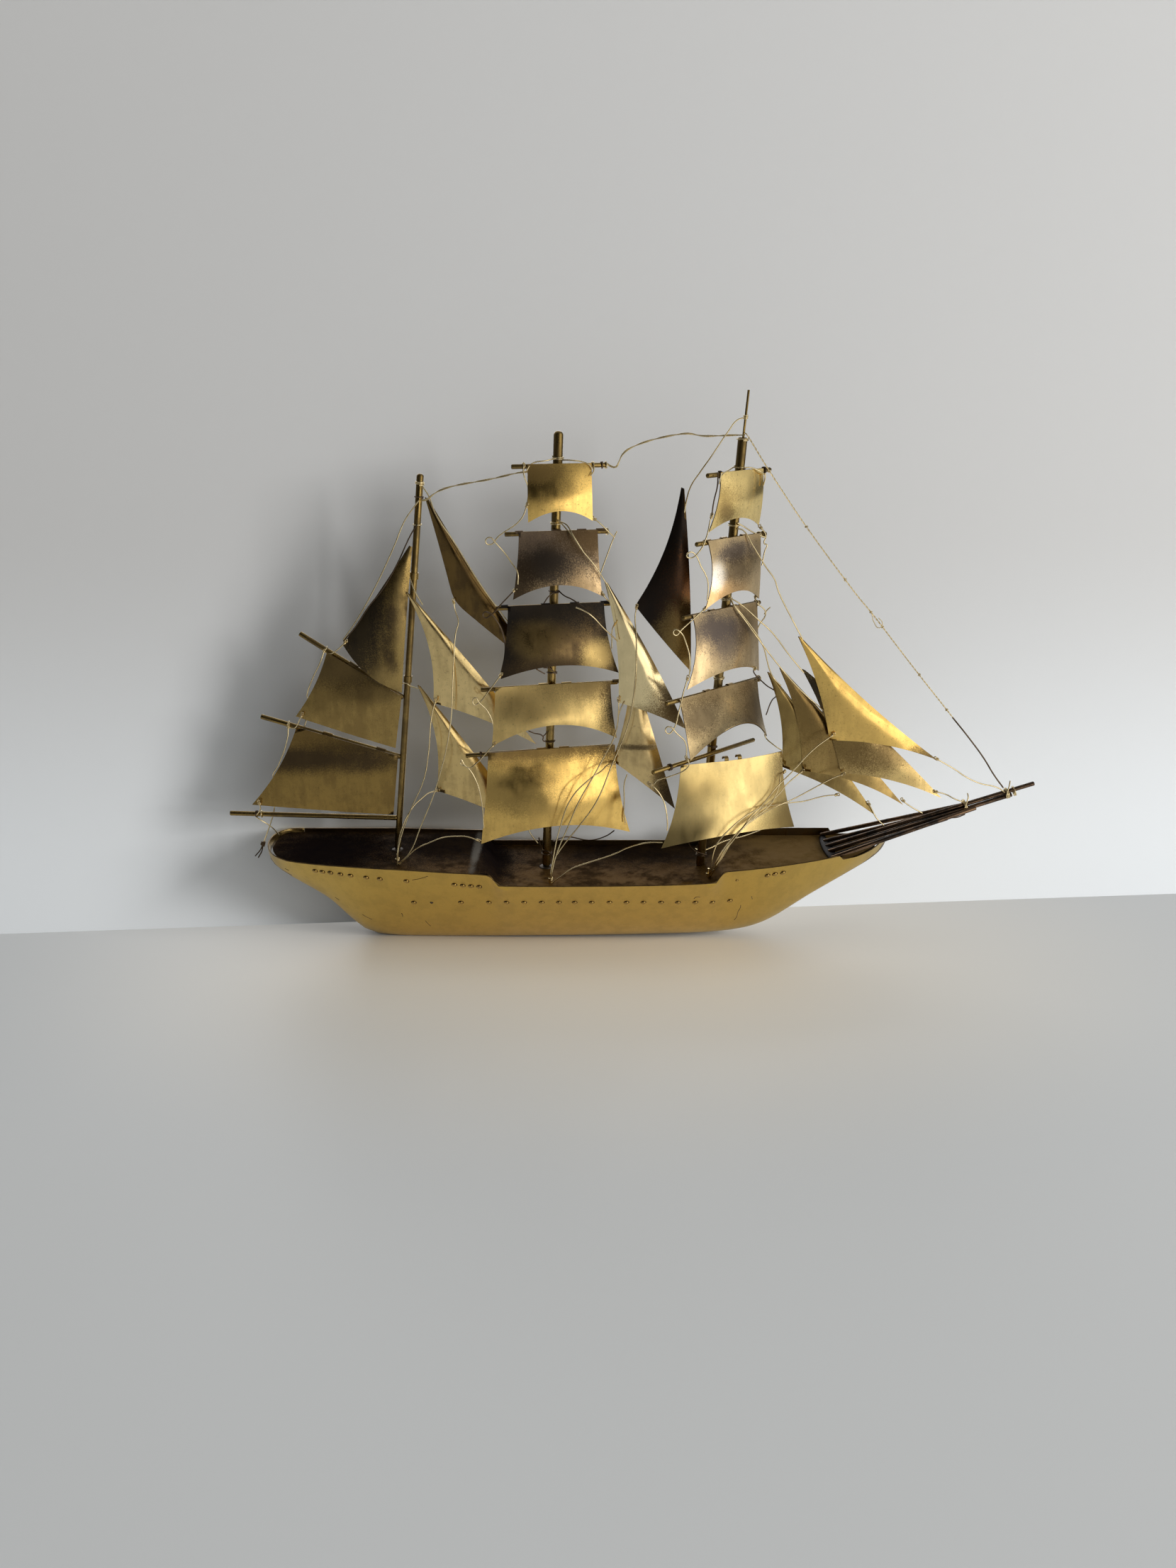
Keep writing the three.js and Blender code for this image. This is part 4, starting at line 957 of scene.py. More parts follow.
# %% Rigging of the main mast
MAIN_WIRES = {
    "main_royal_brace": [(-31, -56, 286), (-35, -57, 277), (-50, -58, 266), (-57, -58, 260), (-59, -59, 263),
        (-56, -59, 265), (-53, -59, 262), (-47, -58, 255), (-42, -59, 248), (-38, -61, 242),
        (-38, -61, 234)],
    "main_topgallant_brace": [(-40, -58, 230), (-50, -60, 220), (-58, -60, 212), (-61, -60, 211),
        (-62, -60, 214), (-60, -60, 215), (-53, -60, 209), (-48, -59, 194), (-48, -59, 186),
        (-51, -59, 172)],
    "main_upper_topsail_brace": [(-51, -60, 171), (-60, -60, 159), (-67, -61, 151), (-70, -62, 150),
        (-71, -62, 153), (-69, -62, 155), (-67, -62, 152), (-61, -61, 145), (-57, -61, 132),
        (-58, -61, 121)],
    "main_lower_topsail_brace": [(-57, -62, 121), (-65, -62, 112), (-70, -63, 107), (-75, -64, 104),
        (-78, -64, 106), (-80, -64, 110)],
    "main_course_brace": [(-80, -64, 110), (-81, -64, 107), (-77, -64, 105), (-72, -64, 98), (-67, -64, 79),
        (-66, -64, 58)],
    "main_royal_lift_left": [(-31, -56, 308), (-28, -54, 312), (-18, -52, 314), (-12, -47, 315)],
    "main_royal_lift_right": [(-8, -47, 314), (-2, -49, 314), (5, -48, 313), (10, -48, 311), (12, -48, 308)],
    "main_royal_side_left": [(-33, -54, 313), (-33, -56, 306), (-30, -56, 296), (-31, -56, 286)],
    "main_royal_side_right": [(13, -46, 312), (13, -49, 307), (11, -50, 304)],
    "main_royal_sheet": [(13, -46, 276), (18, -46, 272), (23, -45, 267), (27, -44, 263)],
    "main_topgallant_right_brace": [(29, -44, 267), (27, -44, 263), (22, -45, 250), (18, -46, 239)],
    "main_topgallant_sheet": [(19, -46, 225), (22, -45, 221), (25, -43, 218)],
    "upper_topsail_right_brace": [(28, -50, 206), (26, -44, 198), (26, -42, 191), (26, -42, 185)],
    "middle_staysail_halyard": [(-11, -47, 275), (-7, -48, 271), (1, -53, 262), (5, -53, 256),
        (14, -52, 245), (22, -48, 232)],
    "middle_staysail_halyard_2": [(-10, -47, 274), (-5, -50, 272), (-1, -54, 266), (6, -54, 255)],
    "topsail_lift_left": [(-14, -46, 226), (-18, -48, 223), (-21, -50, 219)],
    "topsail_lift_right": [(-11, -46, 227), (-7, -49, 224), (-2, -51, 222), (3, -52, 219), (9, -54, 215)],
    "loose_brace": [(1, -60, 218), (6, -60, 216), (11, -60, 213), (20, -56, 203), (30, -49, 192)],
    "middle_staysail_leech": [(31, -48, 150), (31, -48, 142), (29, -46, 124), (20, -56, 108), (12, -63, 95),
        (3, -67, 80), (-4, -70, 64), (-14, -73, 39), (-18, -74, 19)],
    "middle_staysail_leech_2": [(35, -48, 148), (33, -48, 144), (31, -47, 138)],
    "upper_staysail_fore_sheet": [(43, -46, 216), (42, -46, 209), (43, -48, 194), (42, -52, 159),
        (38, -54, 134), (26, -60, 104), (15, -65, 78), (5, -68, 64), (-11, -70, 43), (-16, -72, 34),
        (-18, -74, 19)],
    "lower_staysail_fore_sheet": [(28, -45, 101), (24, -48, 101), (19, -56, 99), (12, -62, 96),
        (-2, -67, 83), (-11, -70, 60), (-16, -73, 37), (-19, -74, 19)],
    "main_course_right_brace": [(38, -38, 90), (36, -39, 83), (36, -41, 72), (36, -44, 59), (37, -45, 54)],
    "aft_course_line": [(29, -30, 42), (23, -26, 36), (10, -20, 30), (-7, -18, 32), (-13, -22, 32),
        (-17, -30, 33)],
    "main_mast_hook_low": [(-27, -48, 44), (-26, -47, 37), (-24, -46, 33), (-20, -47, 32), (-17, -46, 28)],
    "lower_staysail_tack_wire": [(-35, -43, 48), (-32, -44, 43), (-28, -45, 38)],
    "fore_course_tack": [(62, -86, 56), (52, -84, 55), (37, -80, 49), (29, -78, 44), (17, -77, 39),
        (4, -76, 34), (-3, -76, 31), (-10, -75, 25), (-18, -74, 18)],
    "main_mast_hook_mid": [(-33, -50, 127), (-30, -48, 125), (-23, -47, 122), (-23, -47, 119),
        (-21, -47, 118), (-15, -47, 118)],
    "main_mast_hook_mid_tail": [(-23, -47, 122), (-21, -47, 124), (-20, -47, 126)],
    "main_mast_hook_high": [(-22, -48, 173), (-17, -47, 172), (-14, -46, 168)],
    "main_mast_hook_high_tail": [(-27, -52, 173), (-24, -51, 171), (-21, -50, 169)],
}
print("wires of the main mast:", len(MAIN_WIRES))

# %% Rigging of the fore mast
FORE_WIRES = {
    "fore_royal_lift_left": [(95, -72, 306), (96, -70, 307), (101, -64, 309), (105, -55, 310),
        (109, -48, 309)],
    "fore_royal_lift_right": [(113, -47, 309), (117, -46, 309), (125, -43, 306), (128, -40, 304)],
    "fore_royal_side_left": [(93, -72, 308), (93, -72, 300), (91, -72, 290), (90, -72, 281)],
    "fore_royal_side_left_2": [(95, -73, 308), (94, -73, 301)],
    "fore_royal_side_right": [(128, -41, 305), (128, -41, 301), (127, -42, 297)],
    "fore_royal_brace": [(90, -72, 281), (89, -72, 277), (87, -74, 268), (82, -76, 258), (76, -76, 254),
        (74, -77, 256), (76, -77, 258), (79, -76, 257), (84, -75, 248), (87, -74, 243), (89, -73, 237),
        (89, -72, 225)],
    "fore_royal_sheet": [(127, -36, 269), (132, -32, 262), (131, -32, 257), (133, -32, 256), (132, -32, 253),
        (130, -33, 242)],
    "fore_topgallant_lift": [(110, -47, 273), (115, -44, 270), (123, -38, 265), (132, -32, 261)],
    "flying_jib_stay": [(110, -46, 269), (114, -46, 268), (121, -47, 258), (131, -48, 243), (137, -48, 235),
        (140, -48, 227), (152, -48, 205), (159, -48, 193)],
    "fore_topgallant_brace": [(88, -72, 220), (80, -77, 214), (71, -82, 207), (68, -83, 204), (66, -84, 206),
        (67, -84, 208), (70, -84, 207), (75, -81, 198), (78, -80, 186), (78, -79, 176)],
    "fore_upper_topsail_brace": [(77, -79, 174), (74, -81, 164), (71, -85, 152), (67, -87, 139),
        (64, -88, 137), (62, -88, 140), (64, -88, 142), (70, -88, 137), (76, -86, 130), (77, -86, 119)],
    "fore_lower_topsail_sheet": [(77, -86, 119), (79, -85, 114), (77, -84, 110), (67, -84, 105),
        (57, -83, 101), (54, -83, 98), (51, -82, 100)],
    "fore_course_brace": [(52, -83, 99), (56, -84, 96), (61, -84, 89), (63, -85, 84), (65, -86, 71),
        (65, -86, 65)],
    "fore_topgallant_right_brace": [(127, -33, 221), (127, -31, 217), (135, -29, 208), (131, -28, 199),
        (130, -28, 196), (129, -35, 192)],
    "fore_topgallant_right_tail": [(134, -29, 207), (136, -29, 210), (138, -29, 212)],
    "fore_upper_topsail_sheet": [(128, -38, 170), (129, -29, 164), (138, -28, 155), (146, -29, 148),
        (143, -29, 144), (139, -30, 133)],
    "fore_lower_topsail_right": [(138, -36, 122), (139, -33, 117), (144, -38, 113), (149, -49, 112)],
    "inner_jib_stay": [(106, -48, 222), (112, -50, 215), (118, -48, 208), (133, -40, 186), (136, -38, 177),
        (139, -36, 168), (143, -34, 161), (148, -34, 156)],
    "middle_jib_stay": [(107, -48, 223), (110, -50, 217), (117, -50, 208), (129, -45, 192), (146, -43, 171),
        (161, -44, 155), (178, -42, 140)],
    "outer_jib_stay": [(107, -46, 222), (114, -46, 218), (128, -44, 206), (138, -43, 197), (150, -43, 182),
        (162, -43, 168)],
    "flying_jib_sheet": [(185, -49, 124), (171, -52, 114), (157, -55, 99), (144, -60, 87), (138, -66, 82),
        (132, -73, 78), (125, -78, 73), (119, -83, 67), (109, -86, 55), (103.5, -83, 42), (99, -74, 28),
        (97, -65, 18)],
    "outer_jib_sheet": [(195, -46, 93), (187, -47, 90), (175, -49, 84), (159, -54, 77), (148, -59, 74),
        (138, -68, 73), (130, -75, 71), (117, -84, 65), (111.5, -87, 60.5), (106, -86, 52), (101, -79, 38),
        (97, -65, 18)],
    "loose_sheet": [(192, -46, 77), (181, -47, 76), (167, -49, 73), (157, -52, 73), (146, -61, 75),
        (131, -74, 77), (118, -83, 73), (107, -88, 65), (102.5, -89, 60), (99.5, -87, 53), (98, -75, 32),
        (97, -65, 17)],
    "inner_jib_sheet": [(152, -46, 95), (148, -53, 94), (147, -56, 88), (144, -61, 82), (139, -68, 77),
        (125, -79, 70), (120, -83, 66.5), (114, -86, 61), (110, -86, 55), (105, -81, 42), (98, -65, 18)],
    "middle_jib_sheet": [(166, -42, 94), (161, -45, 91), (154, -50, 87), (147, -58, 82), (131, -74, 75),
        (116, -86, 64), (111, -87, 57), (104, -81, 44), (97, -65, 18)],
    "aft_fore_line": [(149, -10, 38), (144, -14, 37), (128, -26, 36), (112, -34, 35), (99, -42, 32),
        (93, -43, 31), (90, -39, 31)],
    "fore_mast_hook": [(82, -54, 46), (84, -52, 40), (87, -50, 35), (91, -48, 32), (98, -46, 29)],
    "flying_jib_tack": [(261, -46, 105), (279, -43, 94), (283, -42, 91), (296, -40, 84), (312, -37, 79),
        (318, -36, 75)],
    "outer_jib_tack": [(264, -42, 78), (273, -40, 75), (281, -36, 70), (288, -35, 67)],
    "middle_jib_tack": [(242, -38, 70), (244, -38, 68), (248, -38, 65), (258, -37, 59)],
    "inner_jib_tack": [(218, -34, 66), (221, -34, 61), (225, -34, 54), (231, -34, 48)],
    "bobstay_wire": [(261, -38, 49), (266, -38, 50), (276, -38, 55), (284, -38, 56), (290, -37, 58)],
}
print("wires of the fore mast:", len(FORE_WIRES))

# %% Bend the rigging
DARK_WIRES = (
    "topsail_lift_left", "topsail_lift_right", "aft_course_line",
    "main_mast_hook_mid", "main_mast_hook_high", "main_mast_hook_low", "fore_mast_hook",
    "main_mast_hook_mid_tail", "main_mast_hook_high_tail", "main_topgallant_brace",
    "fore_royal_side_left", "aft_topping_line_2", "fore_upper_topsail_sheet", "bobstay_wire",
)
ALL_WIRES = {**MIZZEN_WIRES, **MAIN_WIRES, **FORE_WIRES}
for name, points in ALL_WIRES.items():
    bend_wire(name, points, dark_wire_finish if name in DARK_WIRES else wire_finish)
print("wires bent:", len(ALL_WIRES))

# %% [markdown]
# ## Rings and ties
# Where a wire meets a mast or a yard it is wound around the rod. The axis of each rod is
# known from its two ends, so a ring needs only its height, or its place along the ship.
# Each coil starts a little further round than the last, so that no two look the same.

# %% Rings on the masts
RING_SHIFT = 0.2  # turns


def on_rod(node, value, axis=2):
    """The place, in millimetres, where a rod passes a height (axis 2) or a length (axis 0)."""
    low, high = (end / MM for end in rods[node])
    share = (value - low[axis]) / (high[axis] - low[axis])
    return low.lerp(high, share), (high - low).normalized()


def wind_coils(prefix, table, axis, shift):
    """Coils at places on rods. The table gives each rod its (place, turns, finish)."""
    number = 0
    for node, coils in table.items():
        for value, turns, finish in coils:
            centre, along = on_rod(node, value, axis)
            name = f"{prefix}_{number + 1}"
            coil(name, centre, along, RODS[node] / MM, turns, finish, start=shift * number)
            number += 1
    return number


RINGS = {
    "mizzen_mast": [(298, 2.2, wire_finish), (289, 1.3, dark_wire_finish), (270.5, 1.1, wire_finish)],
    "main_mast": [(315, 2.2, wire_finish), (272.3, 1.2, wire_finish), (226, 1.2, dark_wire_finish),
                  (168.5, 1.1, dark_wire_finish), (117.5, 1.1, dark_wire_finish),
                  (29.5, 1.1, dark_wire_finish)],
    "fore_pole": [(341, 2.4, wire_finish)],
    "fore_mast": [(327, 1.6, wire_finish), (309, 1.6, wire_finish), (271, 1.3, wire_finish),
                  (221, 2.2, wire_finish), (164.5, 1.6, wire_finish), (113.7, 1.1, dark_wire_finish),
                  (28.5, 2.2, dark_wire_finish)],
}
print("rings:", wind_coils("mast_ring", RINGS, 2, RING_SHIFT))

# %% Ties on the yards, gaffs and boom
TIE_SHIFT = 0.15  # turns
TIES = {
    "main_royal_yard": [(-33, 1.3, wire_finish), (12.5, 1.3, wire_finish), (18.5, 1.3, dark_wire_finish),
                        (21.3, 1.3, wire_finish)],
    "main_topgallant_yard": [(22.4, 1.2, wire_finish)],
    "main_course_yard": [(-67, 1.2, dark_wire_finish)],
    "fore_royal_yard": [(95, 1.4, dark_wire_finish), (128, 1.3, dark_wire_finish)],
    "fore_topgallant_yard": [(127, 1.5, wire_finish), (130.5, 1.2, wire_finish)],
    "fore_upper_topsail_yard": [(128, 1.3, wire_finish)],
    "fore_lower_topsail_yard": [(133.4, 1.3, wire_finish)],
    "fore_course_yard": [(66, 2.2, dark_wire_finish)],
    "upper_gaff": [(-176.7, 1.4, wire_finish)],
    "lower_gaff": [(-207.6, 1.4, wire_finish)],
    "boom": [(-237.4, 1.6, dark_wire_finish), (-233.5, 1.2, wire_finish)],
}
print("ties:", wind_coils("yard_tie", TIES, 0, TIE_SHIFT))

# %% [markdown]
# ## Lashings
# Two lashings of bright wire hold the bowsprit rods together. The one near the tip is
# wound in two places close together. Ends of the wire stand up like thorns. The aft
# backstay ends in a dark knot at the stern with two short tails.

# %% Lashings
LASHING_DROP = Vector((0, 0, 1.2))
root, tip = (end / MM for end in ordered("bowsprit_rod_1"))
BOWSPRIT_WAY = (tip - root).normalized()
LASHINGS = [
    (290.5, 4.2, 2.6, [(0, -2.5, 11), (0.5, -4, 8)]), (320, 3.3, 2.4, [(1, -1, 10), (0, -3, 6)]),
    (325, 3.0, 1.5, []),
]
for number, (length, grip, turns, tail) in enumerate(LASHINGS):
    centre = root.lerp(tip, (length - root.x) / (tip.x - root.x)) - LASHING_DROP
    ends = [centre + Vector(offset) for offset in tail]
    coil(f"bowsprit_lashing_{number + 1}", centre, BOWSPRIT_WAY, grip, turns, before=ends)

STERN_KNOT = Vector((-238.5, -25, 29.3))
TAIL_BEND = Vector((1, 0, 0))
coil("stern_knot", STERN_KNOT, (0.3, 0.2, 1), 0.9, 3.4, dark_wire_finish)
coil("stern_knot_cross", STERN_KNOT, (1, 0.4, -0.4), 0.8, 2.4, dark_wire_finish)
for number, reach in enumerate(((-6, -3, -9), (-3.5, -4, -10))):
    tail = [STERN_KNOT, STERN_KNOT + Vector(reach) * 0.5 + TAIL_BEND, STERN_KNOT + Vector(reach)]
    bend_wire(f"stern_knot_tail_{number + 1}", tail, dark_wire_finish)
print("lashings:", len(LASHINGS))

# %% [markdown]
# ## Eyes and knots at the sail corners
# A wire grips a corner through a small hole and is wound back around itself. So each
# corner that holds a wire gets a short coil along the wire's first stretch.

# %% Corner knots
CORNER_WIRE = 0.4
EYE_WAY = (0.4, 1, 0.2)
CORNER_KNOTS = [
    "middle_staysail_leech", "middle_staysail_sheet", "lower_staysail_sheet", "upper_staysail_sheet",
    "upper_staysail_fore_sheet", "lower_staysail_fore_sheet", "main_course_tack", "inner_jib_sheet",
    "middle_jib_sheet", "outer_jib_sheet", "flying_jib_sheet", "inner_jib_tack", "middle_jib_tack",
    "outer_jib_tack", "flying_jib_tack", "main_royal_brace", "main_topgallant_brace",
    "main_upper_topsail_brace", "main_lower_topsail_brace", "fore_royal_brace", "fore_topgallant_brace",
    "fore_upper_topsail_brace", "fore_lower_topsail_sheet", "fore_course_brace", "boom_tie",
    "lower_leech_wire", "gaff_bridle", "lower_gaff_bridle", "main_royal_sheet", "fore_royal_sheet",
    "main_topgallant_sheet", "fore_topgallant_right_brace", "fore_upper_topsail_sheet", "loose_sheet",
]
for name in CORNER_KNOTS:
    line = smooth_route(ALL_WIRES[name][:3], 0.8)
    way = (line[2] - line[0]).normalized()
    coil(name + "_knot", line[0] + way * 1.2, way, 0.45, 2.1, radius=CORNER_WIRE)
    coil(name + "_eye", line[0] - way * 0.6, EYE_WAY, 0.5, 1.0, radius=CORNER_WIRE)
print("corner knots:", len(CORNER_KNOTS))

# %% [markdown]
# ## Fans of wire at the deck
# The sheets meet at the deck edge, where a short thick coil binds them.

# %% Fans of wire at the deck
FAN_WIRE = 0.8
FAN_FEET = {"mizzen": (-130, -65, 30), "main": (-18, -74, 18.5), "fore": (97, -65, 18.5)}
for name, foot in FAN_FEET.items():
    foot = Vector(foot)
    root_line = [foot + Vector((0.5, 0, 8)), foot, foot - Vector((0, 0, 5))]
    bend_wire(name + "_fan_root", root_line, radius=FAN_WIRE)
    coil(name + "_fan_ring", foot + Vector((0.3, 0, 4)), (0.1, 0, 1), 0.9, 1.6)
print("fans:", len(FAN_FEET))

# %% [markdown]
# ## Tabs over the yards
# A sail hangs on its yard by narrow tabs, cut with the sail and folded over the rod. Each
# tab is an open tube that is a little wider than the rod: a cylinder without ends, whose
# lower back is cut off, and which then gets the thickness of the sheet.

# %% Helpers for tabs
TAB_GAP = 0.15 * MM
TAB_SHEET = 0.6 * MM
TAB_REACH = 2.2 * MM
BACK_CUT = Vector((0, 0, -0.4 * MM))  # from the middle of the rod
BACK_CUT_WAY = (0, -0.35, -1)
FRONT_DEPTH = 0.8 * MM


def open_tube(name, centre, rotation, radius, length, sides):
    """A tube without ends. The place of its centre is in millimetres."""
    deselect()
    bpy.ops.mesh.primitive_cylinder_add(
        vertices=sides, radius=radius, depth=length * MM, end_fill_type="NOTHING",
        location=centre * MM, rotation=rotation)
    piece = bpy.context.object
    piece.name = name
    bpy.ops.object.transform_apply(location=True, rotation=True, scale=True)
    return piece


def cut_tube(place, facing):
    """Cuts off what lies beyond a plane."""
    edit_all()
    bpy.ops.mesh.bisect(plane_co=place, plane_no=facing, clear_outer=True)
    bpy.ops.mesh.select_all(action="DESELECT")
    stop_editing()


def thicken(piece, finish, offset=1):
    apply_modifier(piece, "SOLIDIFY", thickness=TAB_SHEET, offset=offset)
    piece.data.materials.append(finish)
    smooth_faces(piece)


def folded_tab(name, node, length, width, finish):
    """A tab over a rod, centred where the rod passes a length along the ship."""
    centre, along = on_rod(node, length, axis=0)
    turn = along.to_track_quat("Z", "Y").to_euler()
    piece = open_tube(name, centre, turn, RODS[node] + TAB_GAP, width, 24)
    cut_tube(centre * MM + BACK_CUT, BACK_CUT_WAY)
    front = min(v.co.y for v in piece.data.vertices)
    for vertex in piece.data.vertices:
        vertex.select = vertex.co.z < (centre.z - 0.2) * MM and vertex.co.y < front + FRONT_DEPTH
    bpy.ops.object.mode_set(mode="EDIT")
    bpy.ops.mesh.select_mode(type="EDGE")
    bpy.ops.mesh.extrude_region_move(TRANSFORM_OT_translate={"value": (0, 0, -TAB_REACH)})
    stop_editing()
    thicken(piece, finish)
    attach(piece, "root")


print("tabs are", TAB_SHEET / MM, "mm thick")

# %% Tabs
TABS = {
    "main_topgallant": [(-12, 6), (5, 6), (-37, 5), (18, 6)],
    "main_upper_topsail": [(-20, 6), (0, 6), (22, 8), (-48, 5)],
    "main_lower_topsail": [(-22, 7), (-6, 7), (30, 6)],
    "main_course": [(-24, 7), (-8, 7)],
    "fore_topgallant": [(100, 5), (115, 5), (88, 5)],
    "fore_upper_topsail": [(93, 5), (110, 5)],
    "fore_lower_topsail": [(92, 5), (110, 5)],
    "upper_spanker": [(-158, 7), (-135, 6)],
    "lower_spanker": [(-180, 7), (-142, 7)],
}
YARD_OF = {"upper_spanker": "upper_gaff", "lower_spanker": "lower_gaff"}
number = 0
for sail, tabs in TABS.items():
    yard = YARD_OF.get(sail, sail + "_yard")
    finish = bpy.data.materials[sail + "_brass"]
    for length, width in tabs:
        number += 1
        folded_tab(f"{sail}_tab_{number}", yard, length, width, finish)
print("tabs:", number)

# %% [markdown]
# ## Curls and straps
# The two tabs of the fore course have opened and stand up from its head as small curls.
# The gaff topsail is held to the mizzen mast by two straps that go right round it. Both
# start as the same open tube, and only the curls are cut.

# %% Curled tabs of the loose course
CURL_TURN = (math.radians(90), 0, math.radians(112))
CURL_HEIGHT, CURL_CUT = 111.2, 110.6
for number, (x, y) in enumerate(((106.2, -66.2), (115.9, -62.4))):
    name = f"fore_course_curl_{number + 1}"
    curl = open_tube(name, Vector((x, y, CURL_HEIGHT)), CURL_TURN, 2.4 * MM, 3, 20)
    cut_tube(Vector((x, y, CURL_CUT)) * MM, (0.2, 0.5, -1))
    thicken(curl, rod_finish, offset=-1)
    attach(curl, "root")
print("curls: 2")

# %% Straps of the gaff topsail around the mizzen mast
for number, height in enumerate((235.7, 162)):
    centre, along = on_rod("mizzen_mast", height)
    turn = along.to_track_quat("Z", "Y").to_euler()
    name = f"gaff_topsail_strap_{number + 1}"
    strap = open_tube(name, centre, turn, MIZZEN_RADIUS + TAB_GAP, 4.5, 32)
    thicken(strap, rod_finish)
    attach(strap, "root")
print("straps: 2")

# %% [markdown]
# ## Rivets
# Small domed rivets dot the hull, in a row below the deck and in groups fore and aft. One
# has come off and left a spot of solder. The dome is modelled once: a sphere is
# flattened, its lower half is cut away, and it is set on a thin dark seat, which is a ring
# of painted shade around the rivet. Each copy is set where a line straight into the hull
# meets the side plate, and leans with the plate.

# %% One rivet
RIVET_RADIUS = 1.8 * MM
DOME_HEIGHT = 0.75  # of a half ball
DOME_CUT = -0.3 * MM
# The seat is a dark ring of painted shade around the foot of each rivet.
SHADE_RING_RADIUS = RIVET_RADIUS * 1.2
SHADE_RING_HEIGHT = 0.4 * MM
rivet_finish = brass("rivet_brass", (0.46, 0.30, 0.09), tarnish=0.3, freckles=0, shine=0.22)
shade_ring_finish = brass("rivet_shade_ring_brass", BROWN, tarnish=0.6, stain=UMBER, shine=0.4)

deselect()
bpy.ops.mesh.primitive_uv_sphere_add(segments=20, ring_count=12, radius=RIVET_RADIUS)
rivet_pattern = bpy.context.object
edit_all()
bpy.ops.transform.resize(value=(1, 1, DOME_HEIGHT))
bpy.ops.mesh.bisect(plane_co=(0, 0, DOME_CUT), plane_no=(0, 0, -1), use_fill=True, clear_outer=True)
stop_editing()
rivet_pattern.data.materials.append(rivet_finish)
deselect()
bpy.ops.mesh.primitive_cylinder_add(vertices=20, radius=SHADE_RING_RADIUS, depth=SHADE_RING_HEIGHT)
rivet_shade_ring = bpy.context.object
edit_all()
bpy.ops.mesh.bevel(offset=0.08 * MM, segments=1, affect="EDGES")
stop_editing()
rivet_shade_ring.data.materials.append(shade_ring_finish)
rivet_pattern = join_pieces("rivet_pattern", [rivet_pattern, rivet_shade_ring])
smooth_faces(rivet_pattern)
print("one rivet:", len(rivet_pattern.data.polygons), "faces")

# %% Rivets
RIVETS = [
    (-190, 25.3), (-184.5, 25), (-178.5, 24.8), (-171, 24), (-163.5, 23.4), (-152, 22.3),
    (-142, 21.5), (-122.5, 20.5), (-87.5, 18.6), (-81.5, 18), (-75.5, 17.6), (-69.5, 17.2),
    (-120.5, -4), (-85, -2.1), (-64, -0.9), (-50.5, 1.8), (-37.5, 2.3), (-24.5, 2.5), (-12, 2.5),
    (-0.5, 2.4), (12, 2.3), (25, 2.2), (37.5, 1.9), (50, 1.6), (63, 1.2), (75.5, 0.6), (88.5, -0.1),
    (101.5, -1.9), (115, -2.6), (140, 23.3), (145.5, 24), (151.5, 24.6),
]
side_plate = bpy.data.objects["hull_side_plate_sheet"]


def on_side_plate(x, z):
    """Where a line straight into the hull meets the side plate, and how it faces there."""
    start = Vector((x, -200, z)) * MM
    _, place, facing, _ = side_plate.ray_cast(start, Vector((0, 1, 0)))
    return place, facing


def set_rivet(name, x, z, size=1.0):
    piece = rivet_pattern.copy()
    piece.data = rivet_pattern.data.copy()
    piece.name = name
    scene.collection.objects.link(piece)
    piece.location, facing = on_side_plate(x, z)
    piece.rotation_euler = facing.to_track_quat("Z", "Y").to_euler()
    piece.scale = (size, size, size)
    select_only(piece)
    bpy.ops.object.transform_apply(location=True, rotation=True, scale=True)
    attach(piece, "root")


for number, (x, z) in enumerate(RIVETS):
    set_rivet(f"rivet_{number + 1}", x, z)
set_rivet("rivet_small", 117.5, 20.6, 0.55)
bpy.data.objects.remove(rivet_pattern)
print("rivets:", len(RIVETS) + 1)

# %% [markdown]
# ## Solder, nicks and scratches
# Soft solder holds the mast feet, the bowsprit rods and the lost rivet's spot. A lump of
# solder is a flattened ball with an uneven skin. A scratch is a fine dark groove: a very
# thin dark line that lies half in the plate.

# %% Solder
LUMP_SKIN = 0.9 * MM
solder_finish = brass("solder", (0.10, 0.08, 0.065), tarnish=0.6, stain=BLACK, shine=0.4)
lumps = bpy.data.textures.new("lumps", "CLOUDS")
lumps.noise_scale = 3 * MM


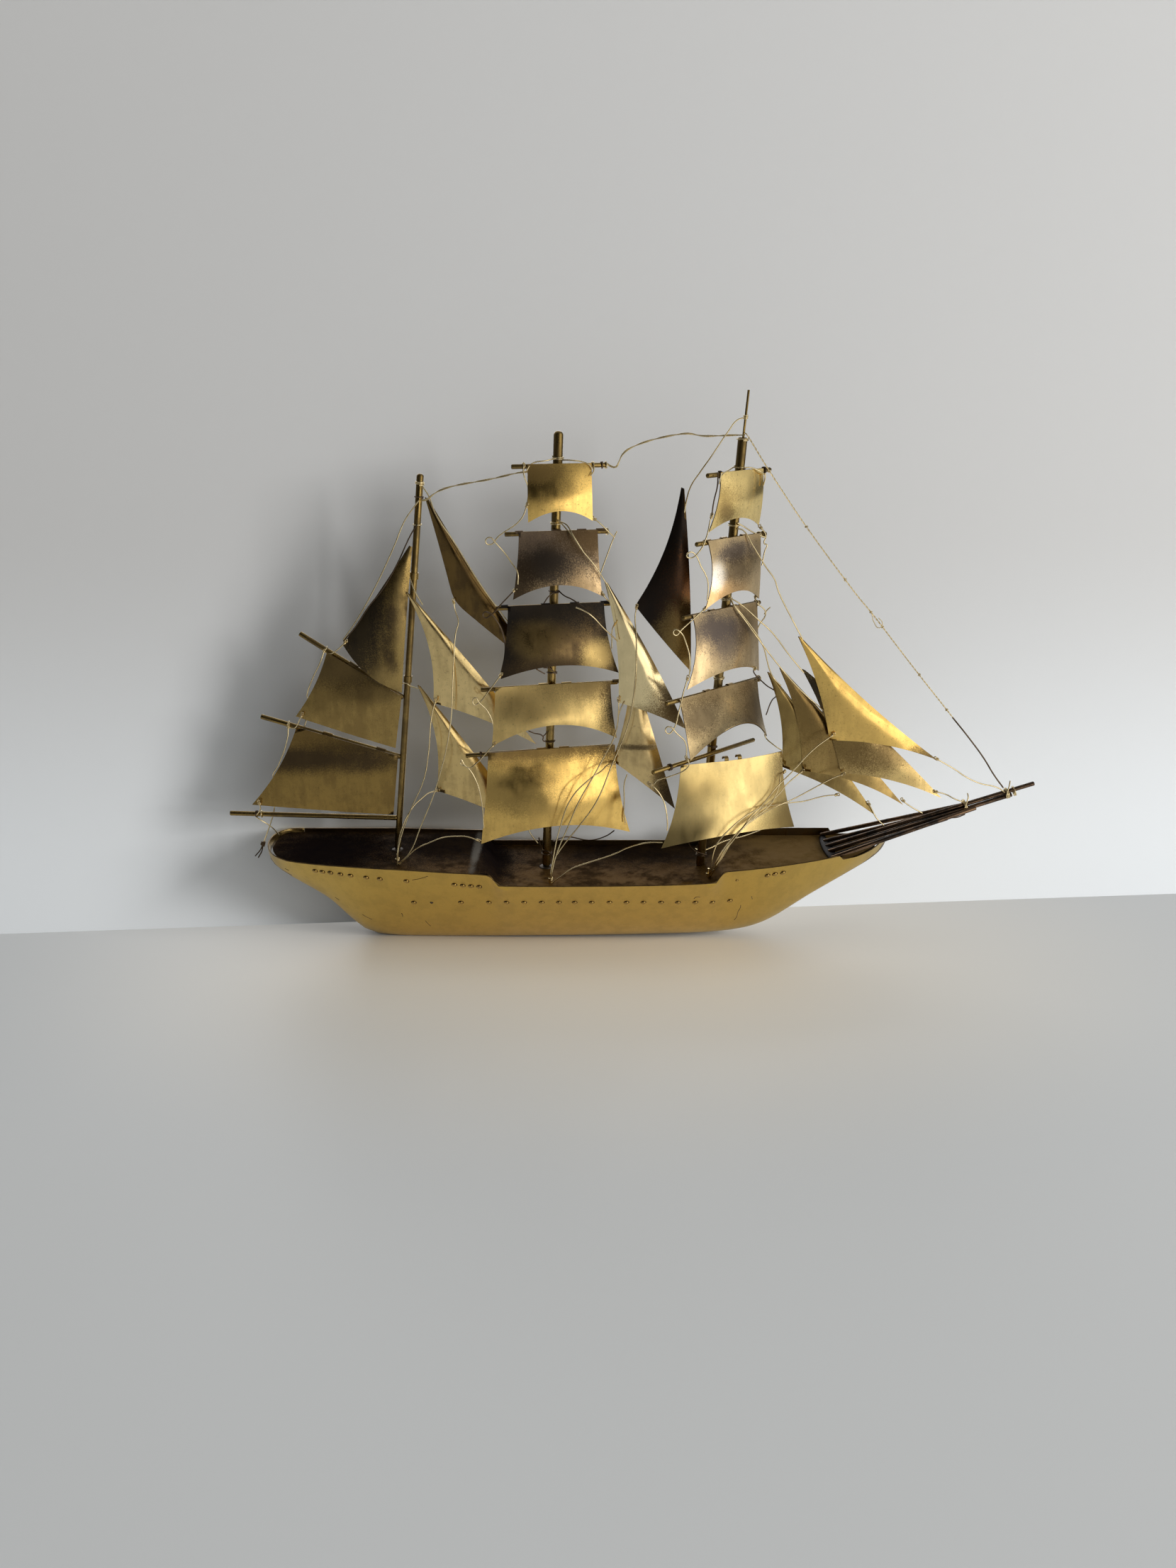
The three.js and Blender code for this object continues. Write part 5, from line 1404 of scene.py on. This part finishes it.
def solder_lump(name, place, size, finish=solder_finish):
    deselect()
    bpy.ops.mesh.primitive_ico_sphere_add(
        subdivisions=3, radius=1, location=Vector(place) * MM, scale=Vector(size) * MM)
    piece = bpy.context.object
    piece.name = name
    bpy.ops.object.transform_apply(location=True, rotation=True, scale=True)
    apply_modifier(piece, "DISPLACE", texture=lumps, texture_coords="LOCAL", mid_level=0.5,
                   strength=LUMP_SKIN)
    piece.data.materials.append(finish)
    smooth_faces(piece, 80)
    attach(piece, "root")


DECK_TOPS = {"mizzen_mast": 29.5, "main_mast": 18.2, "fore_mast": 18.2}
for node, height in DECK_TOPS.items():
    foot = on_rod(node, height)[0]
    grip = RODS[node] / MM
    solder_lump(node + "_solder", (foot.x, foot.y, height), (grip + 2.2, grip + 2, 1.3))
feet = [ordered(f"bowsprit_rod_{number}")[0] / MM for number in range(1, 6)]
root = sum(feet, Vector()) / len(feet)
solder_lump("bowsprit_solder", root + Vector((1.5, 0, -1)), (4.5, 25, 2), soot_and_shade_finish)
print("solder lumps:", len(DECK_TOPS) + 1)

# %% Scratches
SCRATCH_RADIUS = 0.22
SCRATCHES = {
    "scratch_keel_aft": [(-163, -22), (-160, -25), (-156.5, -27.5)],
    "scratch_low_aft": [(-132, -18), (-131.5, -20), (-131.8, -22)],
    "scratch_low_mid": [(-115, -27), (-113.5, -31), (-112, -34)],
    "scratch_bow_long": [(121.5, -28), (122.8, -24), (123, -17), (124.2, -12), (124, -9)],
    "scratch_bow_short": [(131, 1), (132, -2.5)],
    "scratch_rivet_arc": [(87, 4.8), (89, 6.8), (91.5, 6.2)],
    "scratch_upper_aft": [(-118, 22), (-112, 24), (-106, 27)],
    "nick_stern_edge": [(-215, 22), (-212, 21)],
    "nick_keel_turn": [(-181, -4), (-178.5, -7)],
}
for name, points in SCRATCHES.items():
    line = [on_side_plate(x, z)[0] / MM for x, z in points]
    bend_wire(name, line, dark_wire_finish, SCRATCH_RADIUS)
lost_rivet = on_side_plate(-107, -3.2)[0] / MM
solder_lump("lost_rivet_solder", lost_rivet, (1.2, 0.35, 1.2))
print("scratches:", len(SCRATCHES))

# %% [markdown]
# ## Sizes
# At the end the size of the box around the finished pieces is printed, in millimetres.

# %% Finish
low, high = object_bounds()
print("visual box in mm:", [round(x / MM, 1) for x in (high - low)])
